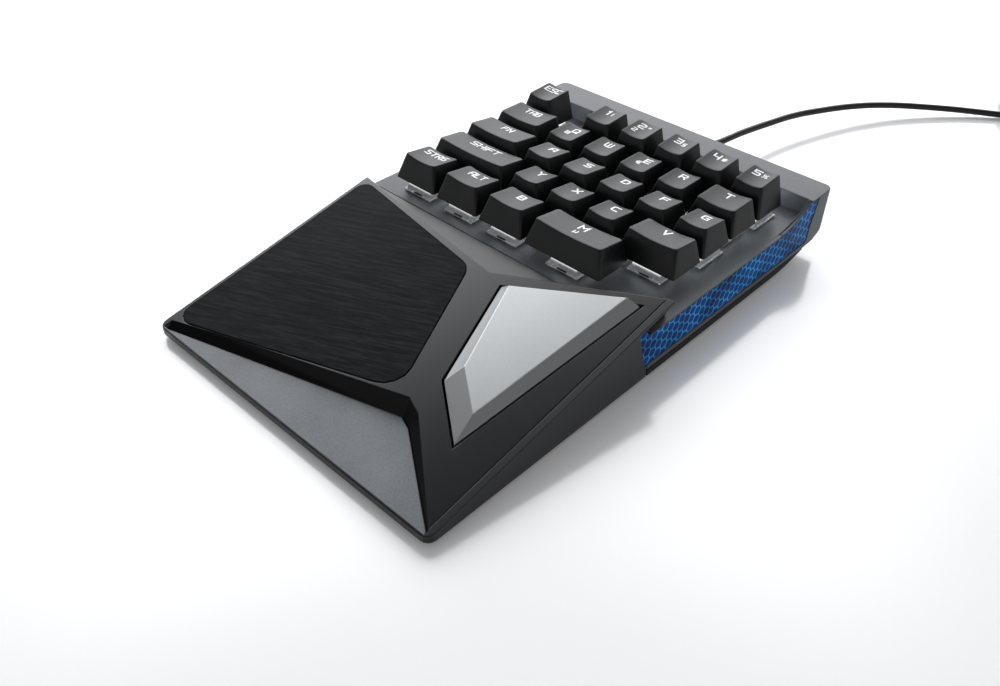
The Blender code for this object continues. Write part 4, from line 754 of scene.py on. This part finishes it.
def make_keycap(cap, name):
    """A hollow cap: its inside, its skirt, the fillet round its top and the dished top."""
    height = max(cap.front_z, cap.back_z) - cap.skirt_z
    bm = bmesh.new()

    def ring(points, heights):
        return [bm.verts.new((*point, z)) for point, z in zip(points, heights)]

    def draped(points, drop):
        return ring(points, [cap.surface(*point) - drop for point in points])

    def level(points, z):
        return ring(points, [z] * len(points))

    ceiling_z = cap.skirt_z + (height - CAP_CEILING_BELOW_TOP - CAP_DISH)
    inner_drop = height - (ceiling_z - cap.skirt_z)
    inner = [
        level(cap.outline(inner_drop, CAP_WALL), ceiling_z),
        level(cap.outline(height, CAP_WALL), cap.skirt_z),
    ]
    skirt = [
        level(cap.outline(height, CAP_SKIRT_BREAK), cap.skirt_z),
        level(cap.outline(height, 0.0), cap.skirt_z + CAP_SKIRT_BREAK),
    ]
    fillet = []
    for step in range(CAP_FILLET_STEPS + 1):
        angle = step / CAP_FILLET_STEPS * math.pi / 2
        drop = CAP_FILLET * (1 - math.sin(angle))
        fillet.append(draped(cap.outline(drop, CAP_FILLET * (1 - math.cos(angle))), drop))
    edge = cap.outline(0.0, CAP_FILLET)
    centre = Vector((cap.x, cap.top_y))
    top = []
    for share in CAP_TOP_RING_SHARES:
        top.append(draped([centre + (point - centre) * share for point in edge], 0.0))
    rings = [*inner, *skirt, *fillet, *top]
    # From partway round the fillet up, the cap takes the tops' lighter copy of its plastic: painted light
    bridge(bm, rings, len(inner) + len(skirt) + CAP_FILLET_STEPS // 2 - 1)
    summit = bm.verts.new((*centre, cap.surface(*centre)))
    for i, vert in enumerate(top[-1]):
        face = bm.faces.new((vert, top[-1][(i + 1) % len(top[-1])], summit))
        face.material_index = 1
    bm.faces.new(reversed(inner[0]))
    mesh = finished(bm, "keycap_" + name, CAP_SHARP_DEGREES)
    return add_piece(
        "keycap_" + name, mesh, BODY_OF[cap.node], (CAP_SKIRT_PLASTIC, CAP_TOP_LIT_PLASTIC), (cap.node,)
    )


def edged_box(name, low, high, edge):
    """A block with its edges broken."""
    bm = bmesh.new()
    bmesh.ops.create_cube(bm, size=1.0)
    for vert in bm.verts:
        vert.co = Vector((a + b) / 2 + share * (b - a) for a, b, share in zip(low, high, vert.co))
    bmesh.ops.bevel(
        bm, geom=bm.edges[:], offset=edge, segments=EDGE_SEGMENTS, affect="EDGES", profile=ROUND_PROFILE
    )
    return finished(bm, name)


SLIDER_HALF_X = 3.5 * MM
SLIDER_HALF_Y = 2.7 * MM
SLIDER_EDGE = 0.3 * MM


def make_slider(cap, name):
    """The switch's slider, which the cap is pressed on and which moves with it."""
    ceiling = max(cap.front_z, cap.back_z) - CAP_CEILING_BELOW_TOP - CAP_DISH
    low = (cap.x - SLIDER_HALF_X, cap.base_y - SLIDER_HALF_Y, cap.stem_low_z)
    high = (cap.x + SLIDER_HALF_X, cap.base_y + SLIDER_HALF_Y, ceiling + SLIDER_EDGE)
    mesh = edged_box("slider_" + name, low, high, SLIDER_EDGE)
    add_piece("slider_" + name, mesh, BODY_OF[cap.node], (SLIDER_PLASTIC,))


# Legends: plain block characters as strokes on a grid six units high
GLYPHS = {
    "A": (4, ((0, 0), (0, 4.6), (1.4, 6), (4, 6), (4, 0)), ((0, 2.4), (4, 2.4))),
    "B": (
        4,
        ((0, 3.1), (0, 6), (3.2, 6), (3.8, 5.4), (3.8, 3.8), (3.2, 3.1), (0, 3.1)),
        ((0, 3.1), (0, 0), (3.4, 0), (4, 0.7), (4, 2.4), (3.4, 3.1)),
    ),
    "C": (4, ((4, 6), (0.7, 6), (0, 5.3), (0, 0.7), (0.7, 0), (4, 0))),
    "D": (4, ((0, 0), (0, 6), (3, 6), (4, 5), (4, 1), (3, 0), (0, 0))),
    "E": (4, ((4, 6), (0, 6), (0, 0), (4, 0)), ((0, 3), (3.5, 3))),
    "F": (4, ((4, 6), (0, 6), (0, 0)), ((0, 3), (3.5, 3))),
    "G": (4, ((4, 6), (0.7, 6), (0, 5.3), (0, 0.7), (0.7, 0), (4, 0), (4, 3), (2.2, 3))),
    "H": (4, ((0, 0), (0, 6)), ((4, 0), (4, 6)), ((0, 3), (4, 3))),
    "I": (0, ((0, 0), (0, 6))),
    "L": (3.6, ((0, 6), (0, 0), (3.6, 0))),
    "M": (4.8, ((0, 0), (0, 6), (2.4, 2.8), (4.8, 6), (4.8, 0))),
    "N": (4, ((0, 0), (0, 6), (4, 0), (4, 6))),
    "Q": (
        4,
        ((0.7, 0), (0, 0.7), (0, 5.3), (0.7, 6), (3.3, 6), (4, 5.3), (4, 0.7), (3.3, 0), (0.7, 0)),
        ((2.4, 1.8), (4.2, -0.6)),
    ),
    "R": (4, ((0, 0), (0, 6), (3.3, 6), (4, 5.3), (4, 3.6), (3.3, 2.8), (0, 2.8)), ((2.2, 2.8), (4, 0))),
    "S": (
        4,
        ((4, 6), (0.7, 6), (0, 5.3), (0, 3.7), (0.7, 3), (3.3, 3), (4, 2.3), (4, 0.7), (3.3, 0), (0, 0)),
    ),
    "T": (4, ((0, 6), (4, 6)), ((2, 6), (2, 0))),
    "V": (4, ((0, 6), (2, 0), (4, 6))),
    "W": (4.8, ((0, 6), (0, 0.7), (0.7, 0), (4.1, 0), (4.8, 0.7), (4.8, 6)), ((2.4, 0), (2.4, 6))),
    "X": (4, ((0, 6), (4, 0)), ((4, 6), (0, 0))),
    "Y": (4, ((0, 6), (2, 3), (4, 6)), ((2, 3), (2, 0))),
    "1": (1, ((0, 5), (1, 6), (1, 0))),
    "2": (4, ((0, 6), (3.3, 6), (4, 5.3), (4, 3.7), (3.3, 3), (0.7, 3), (0, 2.3), (0, 0), (4, 0))),
    "3": (4, ((0, 6), (4, 6), (4, 0), (0, 0)), ((0.8, 3), (4, 3))),
    "4": (4, ((0, 6), (0, 2.6), (4, 2.6)), ((4, 6), (4, 0))),
    "5": (4, ((4, 6), (0, 6), (0, 3.2), (3.3, 3.2), (4, 2.5), (4, 0.7), (3.3, 0), (0, 0))),
    "!": (0, ((0, 6), (0, 2)), ((0, 0.9), (0, 0))),
    '"': (1.6, ((0, 6), (0, 4)), ((1.6, 6), (1.6, 4))),
    "$": (
        4,
        ((4, 5), (0.7, 5), (0, 4.4), (0, 3.6), (0.7, 3), (3.3, 3), (4, 2.4), (4, 1.6), (3.3, 1), (0, 1)),
        ((2, 6), (2, 0)),
    ),
    "%": (4, ((0, 0), (4, 6)), ((0, 4.6), (0, 6), (1.2, 6)), ((4, 1.4), (4, 0), (2.8, 0))),
    "@": (4, ((4, 0), (0, 0), (0, 6), (4, 6), (4, 2), (1.8, 2), (1.8, 4), (4, 4))),
    "\u00a7": (
        3,
        ((3, 6), (0.6, 6), (0, 5.4), (0, 4.4), (0.6, 3.8), (3, 3)),
        ((0, 3), (2.4, 2.2), (3, 1.6), (3, 0.6), (2.4, 0), (0, 0)),
    ),
    "\u20ac": (
        4,
        ((4, 6), (1.5, 6), (0.8, 5.3), (0.8, 0.7), (1.5, 0), (4, 0)),
        ((0, 3.8), (3.2, 3.8)),
        ((0, 2.2), (3.2, 2.2)),
    ),
    "\u00b5": (3, ((0, -1.4), (0, 4)), ((0, 0), (3, 0), (3, 4))),
}
GLYPH_COLUMN = 0.66 * MM
GLYPH_ROW = 0.54 * MM
GLYPH_ROWS = 6
GLYPH_SPACING = 1.7
STROKE_WIDTH = 0.74 * MM
STROKE_PROUD = 0.02 * MM
STROKE_LAP_STEP = 0.003 * MM
STROKE_SUNK = 0.1 * MM
STROKE_PIECE = 0.8 * MM
MITRE_LIMIT = 0.35
LEGEND_BACK_SHARE = 0.42
SMALL_SCALE = 0.68
SHORT_WORD_LETTERS = 4
WORD_NARROWING = 0.8
WORD_STROKE_SHARE = 0.88

# Key: its legend, and its small second characters with their places, in glyph heights
LEGENDS = {
    "esc": ("ESC",),
    "1": ("1", ("!", 0.8, 0.0)),
    "2": ("2", ('"', 1.1, 0.1), ("2", -0.35, -1.15)),
    "3": ("3", ("\u00a7", 1.05, -0.25)),
    "4": ("4", ("$", 1.2, 0.0)),
    "5": ("5", ("%", 1.2, 0.0)),
    "tab": ("TAB",),
    "q": ("Q", ("@", -0.7, -0.85)),
    "w": ("W",),
    "e": ("E", ("\u20ac", -0.8, -0.75)),
    "r": ("R",),
    "t": ("T",),
    "fn": ("FN",),
    "a": ("A",),
    "s": ("S",),
    "d": ("D",),
    "f": ("F",),
    "g": ("G",),
    "shift": ("SHIFT",),
    "y": ("Y",),
    "x": ("X",),
    "c": ("C",),
    "v": ("V",),
    "ctrl": ("STRG",),
    "alt": ("ALT",),
    "b": ("B",),
    "m": ("M", ("\u00b5", -0.1, -1.1)),
}


def ribbon(points, half):
    """Left and right sides of a stroke with mitred corners and square ends."""
    sides = ([], [])
    for i, point in enumerate(points):
        before = (point - points[i - 1]).normalized() if i else None
        after = (points[i + 1] - point).normalized() if i + 1 < len(points) else None
        direction = (before or after) + (after or before)
        direction.normalize()
        normal = Vector((-direction.y, direction.x))
        side = Vector((-(after or before).y, (after or before).x))
        stretch = 1 / max(MITRE_LIMIT, normal.dot(side))
        end = Vector((0.0, 0.0))
        if before is None:
            end = -after * half
        elif after is None:
            end = before * half
        sides[0].append(point + end + normal * half * stretch)
        sides[1].append(point + end - normal * half * stretch)
    return sides


def word_width(text):
    """A word's width in columns."""
    return sum(GLYPHS[letter][0] for letter in text) + GLYPH_SPACING * (len(text) - 1)


def write(bm, cap, text, middle_x, foot_y, scale):
    """Thin raised strokes on the cap's dished top, each a little over the last where they cross.
    A short word is set narrower than a letter, so that it fits its cap."""
    short = 1 < len(text) <= SHORT_WORD_LETTERS
    column, row = GLYPH_COLUMN * scale * (WORD_NARROWING if short else 1.0), GLYPH_ROW * scale
    half_stroke = STROKE_WIDTH / 2 * scale * (WORD_STROKE_SHARE if len(text) > 1 else 1.0)
    x = middle_x - word_width(text) * column / 2
    for letter in text:
        width, *strokes = GLYPHS[letter]
        for lap, stroke in enumerate(strokes):
            points = [Vector((x + across * column, foot_y + up * row)) for across, up in stroke]
            sides = ribbon(split(points), half_stroke)
            lift = STROKE_PROUD + STROKE_LAP_STEP * lap
            rings = []
            for left, right in zip(*sides):
                corners = (
                    (*left, cap.surface(*left) + lift),
                    (*right, cap.surface(*right) + lift),
                    (*right, cap.surface(*right) - STROKE_SUNK),
                    (*left, cap.surface(*left) - STROKE_SUNK),
                )
                rings.append([bm.verts.new(corner) for corner in corners])
            bridge(bm, rings)
            bm.faces.new(reversed(rings[0]))
            bm.faces.new(rings[-1])
        x += (width + GLYPH_SPACING) * column


def split(points):
    """The same line in pieces under a millimetre long, so that it follows the dish."""
    result = [points[0]]
    for a, b in zip(points, points[1:]):
        steps = max(1, math.ceil((b - a).length / STROKE_PIECE))
        result.extend(a + (b - a) * (step / steps) for step in range(1, steps + 1))
    return result


def make_legend(cap, key):
    """A key's legend towards the back of its cap's top, with its small signs beside it."""
    word, *signs = LEGENDS[key]
    height = GLYPH_ROW * GLYPH_ROWS
    foot_y = cap.top_y + cap.top_half.y * LEGEND_BACK_SHARE - height / 2
    reach = signs[0][1] * height if signs else 0.0
    middle = cap.x - reach / 2
    bm = bmesh.new()
    write(bm, cap, word, middle, foot_y, 1.0)
    for sign, across, up in signs:
        write(bm, cap, sign, middle + across * height, foot_y + up * height, SMALL_SCALE)
    mesh = finished(bm, "legend_" + key)
    add_piece("legend_" + key, mesh, BODY_OF[cap.node], (LEGEND_WHITE,))


# What shows of each switch under its cap: a dark latch at its front and back, and its lamp
FLANGE_HALF = 7.45 * MM
LATCH_PROUD = 0.2 * MM
LATCH_WIDTH = 4.6 * MM
LATCH_DEPTH = 1.0 * MM
LATCH_HEIGHT = 1.2 * MM
LATCH_EDGE = 0.2 * MM
LAMP_RADIUS = 1.5 * MM
LAMP_SETBACK = 5.1 * MM
LAMP_FOOT = 1.0 * MM
LAMP_HEIGHT = 4.6 * MM
LAMP_SEGMENTS = 24
LAMP_DOME_STEPS = 6


def make_latches(cap, name):
    """The latches that hold a switch in the deck, one at its front and one at its back."""
    for side, place in ((-1, "front"), (1, "back")):
        outer = cap.base_y + side * (FLANGE_HALF + LATCH_PROUD)
        inner = outer - side * LATCH_DEPTH
        low = (cap.x - LATCH_WIDTH / 2, min(inner, outer), DECK_Z + LATCH_EDGE / 2)
        high = (cap.x + LATCH_WIDTH / 2, max(inner, outer), DECK_Z + LATCH_HEIGHT)
        mesh = edged_box(f"latch_{place}_{name}", low, high, LATCH_EDGE)
        add_piece(f"latch_{place}_{name}", mesh, HOUSING_BODY, (LATCH_PLASTIC,))


def make_lamp(cap, name):
    """A round lamp with a domed top, let into the back of the switch."""
    bm = bmesh.new()
    rings = []
    foot_z = DECK_Z + LAMP_FOOT
    shoulder_z = foot_z + LAMP_HEIGHT - LAMP_RADIUS
    profile = [(LAMP_RADIUS, foot_z), (LAMP_RADIUS, shoulder_z)]
    for step in range(1, LAMP_DOME_STEPS):
        angle = step / LAMP_DOME_STEPS * math.pi / 2
        profile.append((LAMP_RADIUS * math.cos(angle), shoulder_z + LAMP_RADIUS * math.sin(angle)))
    for radius, z in profile:
        ring = []
        for step in range(LAMP_SEGMENTS):
            angle = step / LAMP_SEGMENTS * math.tau
            x = cap.x + radius * math.cos(angle)
            y = cap.base_y + LAMP_SETBACK + radius * math.sin(angle)
            ring.append(bm.verts.new((x, y, z)))
        rings.append(ring)
    bridge(bm, rings)
    bm.faces.new(reversed(rings[0]))
    bm.faces.new(rings[-1])
    mesh = finished(bm, "lamp_" + name)
    add_piece("lamp_" + name, mesh, HOUSING_BODY, (KEY_LAMP,))


for key in LEGENDS:
    cap = Cap("key_" + key)
    make_keycap(cap, key)
    make_slider(cap, key)
    make_legend(cap, key)
    make_latches(cap, key)
    make_lamp(cap, key)


# CAD pieces with their edges broken and finished
SEAM_INSET = 2.7 * MM
SEAM_WIDTH = 0.3 * MM
SEAM_DEPTH = 0.4 * MM
SEAM_END = 1.4 * MM
CUT_WITHIN = 0.001 * MM
UPWARD_NORMAL_Z = 0.5
FACET_NORMAL_Y = 0.08
FACET_NORMAL_Z = 0.9
RECESS_NORMAL_Y = -0.4
RECESS_NORMAL_Z = 0.3
WINDOW_FACE_NORMAL_X = 0.8
WINDOW_TOP_NORMAL_Z = 0.3
MERGE_WITHIN = 0.002 * MM
FLAT_WITHIN_DEGREES = 0.6
ROUNDED_FROM_DEGREES = 24.0
CROWDED_REACH = 2.5
SWITCH_ROWS = 5


def score_seam(bm):
    """A groove along the right of the palm rest's top, where its side moulding meets it."""
    outer = REST_HIGH.x - SEAM_INSET
    low_y, high_y = REST_LOW.y + SEAM_END, REST_HIGH.y - SEAM_END
    planes = (
        ((outer, 0.0, 0.0), (1.0, 0.0, 0.0)),
        ((outer - SEAM_WIDTH, 0.0, 0.0), (1.0, 0.0, 0.0)),
        ((0.0, low_y, 0.0), (0.0, 1.0, 0.0)),
        ((0.0, high_y, 0.0), (0.0, 1.0, 0.0)),
    )
    for point, normal in planes:
        near = []
        for face in bm.faces:
            if face.normal.z > UPWARD_NORMAL_Z and max(v.co.x for v in face.verts) > outer - SEAM_INSET:
                near.append(face)
        parts = {*near, *(e for f in near for e in f.edges), *(v for f in near for v in f.verts)}
        bmesh.ops.bisect_plane(bm, geom=list(parts), plane_co=point, plane_no=normal, dist=CUT_WITHIN)
    strip = []
    for face in bm.faces:
        middle = face.calc_center_median()
        inside = outer - SEAM_WIDTH < middle.x < outer and low_y < middle.y < high_y
        if inside and face.normal.z > UPWARD_NORMAL_Z:
            strip.append(face)
    sunk = bmesh.ops.extrude_face_region(bm, geom=strip)["geom"]
    bmesh.ops.delete(bm, geom=strip, context="FACES_ONLY")
    for vert in (item for item in sunk if isinstance(item, bmesh.types.BMVert)):
        vert.co.z -= SEAM_DEPTH
    bmesh.ops.recalc_face_normals(bm, faces=bm.faces[:])


def rest_finish_and_painted_shading(face):
    """The facet along the deck takes the second finish, a lighter copy of the lacquer that paints light on
    it; the front recess's walls the third, a near-black copy that paints shade in the recess; and the
    moulding down the right side the fourth, a lighter copy that paints light on it."""
    if face.normal.y > FACET_NORMAL_Y and face.normal.z > FACET_NORMAL_Z:
        return 1
    if face.normal.y < RECESS_NORMAL_Y and face.normal.z > RECESS_NORMAL_Z:
        return 2
    return 3 if face.calc_center_median().x > REST_HIGH.x - SEAM_INSET else 0


def window_finish(face):
    """A window's ends and foot are masked black, and its top edge is painted with the frame. Its
    two faces let the light through."""
    if abs(face.normal.x) > WINDOW_FACE_NORMAL_X:
        return 0
    return 2 if face.normal.z > WINDOW_TOP_NORMAL_Z else 1


def dressed(node, materials, edge, sharp=ROUNDED_FROM_DEGREES, cut=None, finish_of=None):
    """The CAD node's own shape with its sharp edges rounded, as the tool or the press leaves them,
    but for those that end in a corner too crowded for it. Where there are several materials,
    finish_of tells each face's."""
    bm = bmesh.new()
    bm.from_mesh(NODES[node].data)
    bmesh.ops.remove_doubles(bm, verts=bm.verts[:], dist=MERGE_WITHIN)
    flat = math.radians(FLAT_WITHIN_DEGREES)
    bmesh.ops.dissolve_limit(bm, angle_limit=flat, verts=bm.verts[:], edges=bm.edges[:])
    limit = math.radians(sharp)
    least = edge * CROWDED_REACH
    crowded = {v for v in bm.verts if min(e.calc_length() for e in v.link_edges) < least}
    edges = [e for e in bm.edges if e.calc_face_angle(0.0) > limit and crowded.isdisjoint(e.verts)]
    bmesh.ops.bevel(
        bm,
        geom=edges,
        offset=edge,
        segments=EDGE_SEGMENTS,
        affect="EDGES",
        profile=ROUND_PROFILE,
        clamp_overlap=True,
    )
    if cut:
        cut(bm)
    if finish_of:
        bm.normal_update()
        for face in bm.faces:
            face.material_index = finish_of(face)
    mesh = finished(bm, node + "_dressed")
    piece = add_piece(node + "_dressed", mesh, BODY_OF[node], materials, (node,))
    flats = piece.modifiers.new("flats_stay_flat", "WEIGHTED_NORMAL")
    flats.keep_sharp = True


dressed("top_frame", (FRAME_PAINT,), edge=0.25 * MM)
dressed(
    "palm_housing",
    (REST_PAINT, FACET_LIT_PAINT, RECESS_SHADE_PAINT, MOULDING_LIT_PAINT),
    edge=0.4 * MM,
    sharp=17.0,
    cut=score_seam,
    finish_of=rest_finish_and_painted_shading,
)
dressed("palm_pad", (PAD_PLATE,), edge=0.2 * MM)
dressed("front_panel", (PANEL_PAINT,), edge=0.15 * MM)
dressed("thumb_bar", (BAR_PAINT,), edge=0.25 * MM, sharp=12.0)
dressed("bottom_case", (CASE_PLASTIC,), edge=0.2 * MM)
window_finishes = (WINDOW_ACRYLIC, WINDOW_MASK, FRAME_PAINT)
for node in ("light_window_right", "light_window_left"):
    dressed(node, window_finishes, edge=0.1 * MM, finish_of=window_finish)
for row in range(1, SWITCH_ROWS + 1):
    dressed(f"switch_row_{row}", (SWITCH_CLEAR,), edge=0.2 * MM)

# The nodes that keep their CAD shape
for material, nodes in (
    (BOARD_LAMINATE, ("circuit_board", "thumb_board")),
    (STRIP_RESIN, ("lamp_bar_left", "lamp_bar_right")),
    (SLIDER_PLASTIC, ("thumb_switch",)),
    (FOOT_RUBBER, ("foot_front_left", "foot_front_right", "foot_back_left", "foot_back_right")),
    (SCREW_STEEL, ("screw_left_front", "screw_right_front", "screw_left_back", "screw_right_back")),
    (CORD_PVC, ("strain_relief", "plug_body")),
    (SHELL_STEEL, ("plug_shell",)),
):
    for node in nodes:
        mesh = NODES[node].data
        mesh.materials.clear()
        mesh.materials.append(material)


# Stage: a pale floor, in a studio that is white round the horizon, dim overhead, and lit by one
# large soft light behind the object, on its left
FLOOR_HALF = 30.0
FLOOR_SQUARES = 8
FLOOR_PATCH = 60.0 * MM
FLOOR_LIFT = 0.06
HORIZON_LIGHT = 0.95
OVERHEAD_LIGHT = 0.3
HORIZON_START = 0.16
HORIZON_END = 0.5
SOFT_LIGHT = 4.8
SOFT_LIGHT_AZIMUTH = 136.0
SOFT_LIGHT_FULL_WITHIN = 18.0
SOFT_LIGHT_NONE_PAST = 48.0
SOFT_LIGHT_FULL_BELOW = 45.0
SOFT_LIGHT_NONE_ABOVE = 57.5
SOFT_LIGHT_NONE_BELOW = 2.0
SOFT_LIGHT_FULL_ABOVE = 16.0


def make_floor():
    """A pale floor that keeps the object's shadow. What the camera, gloss and glass see of it is
    lifted a little, to the white of the background."""
    material, tree, place = new_material("studio_floor")
    patch = add(tree, "TexNoise", {"Vector": place, "Scale": 1 / FLOOR_PATCH})
    dark, light = hex_color("#fcfcfc"), hex_color("#ffffff")
    colour = add(tree, "MixRGB", {"Fac": patch, "Color1": dark, "Color2": light})
    rays = add(tree, "LightPath").outputs
    seen = rays["Is Camera Ray"]
    for kind in ("Is Glossy Ray", "Is Transmission Ray"):
        seen = add(tree, "Math", {0: seen, 1: rays[kind]}, operation="MAXIMUM")
    lift = add(tree, "Math", {0: seen, 1: FLOOR_LIFT}, operation="MULTIPLY")
    surface(
        material,
        tree,
        {
            "Base Color": colour,
            "Roughness": 0.14,
            "Specular IOR Level": 0.8,
            "Emission Color": WHITE,
            "Emission Strength": lift,
        },
    )
    bm = bmesh.new()
    bmesh.ops.create_grid(bm, x_segments=FLOOR_SQUARES, y_segments=FLOOR_SQUARES, size=FLOOR_HALF)
    for vert in bm.verts:
        vert.co.z = DESK_Z
    mesh = finished(bm, "studio_floor")
    mesh.materials.append(material)
    floor = bpy.data.objects.new("studio_floor", mesh)
    bpy.context.scene.collection.objects.link(floor)


def make_studio():
    """The world round the object, from the stage's values."""
    world = bpy.data.worlds.new("studio")
    bpy.context.scene.world = world
    world.use_nodes = True
    tree = world.node_tree
    tree.nodes.clear()
    direction = add(tree, "TexCoord").outputs["Generated"]
    axes = add(tree, "SeparateXYZ", {"Vector": direction})
    height = axes.outputs["Z"]
    from_level = add(tree, "Math", {0: height}, operation="ABSOLUTE")
    walls = add(
        tree,
        "MapRange",
        {
            "Value": from_level,
            "From Min": HORIZON_START,
            "From Max": HORIZON_END,
            "To Min": HORIZON_LIGHT,
            "To Max": OVERHEAD_LIGHT,
        },
        interpolation_type="SMOOTHSTEP",
    )
    level = add(tree, "CombineXYZ", {"X": axes.outputs["X"], "Y": axes.outputs["Y"]})
    heading = add(tree, "VectorMath", {0: level}, operation="NORMALIZE")
    azimuth = math.radians(SOFT_LIGHT_AZIMUTH)
    towards = (math.cos(azimuth), math.sin(azimuth), 0.0)
    facing = add(tree, "VectorMath", {0: heading, 1: towards}, operation="DOT_PRODUCT").outputs["Value"]
    # Each fade of the soft light: what it follows, how that measures an angle, and the angles
    # where it is dark and where it is full
    fades = (
        (facing, math.cos, SOFT_LIGHT_NONE_PAST, SOFT_LIGHT_FULL_WITHIN),
        (height, math.sin, SOFT_LIGHT_NONE_ABOVE, SOFT_LIGHT_FULL_BELOW),
        (height, math.sin, SOFT_LIGHT_NONE_BELOW, SOFT_LIGHT_FULL_ABOVE),
    )
    light = SOFT_LIGHT
    for along, measure, dark, full in fades:
        fade = add(
            tree,
            "MapRange",
            {
                "Value": along,
                "From Min": measure(math.radians(dark)),
                "From Max": measure(math.radians(full)),
            },
            interpolation_type="SMOOTHSTEP",
        )
        light = add(tree, "Math", {0: light, 1: fade}, operation="MULTIPLY")
    strength = add(tree, "Math", {0: walls, 1: light}, operation="ADD")
    background = add(tree, "Background", {"Color": hex_color("#f8f9fb"), "Strength": strength})
    add(tree, "OutputWorld", {"Surface": background})


make_floor()
make_studio()
bpy.context.scene.view_settings.view_transform = "Standard"
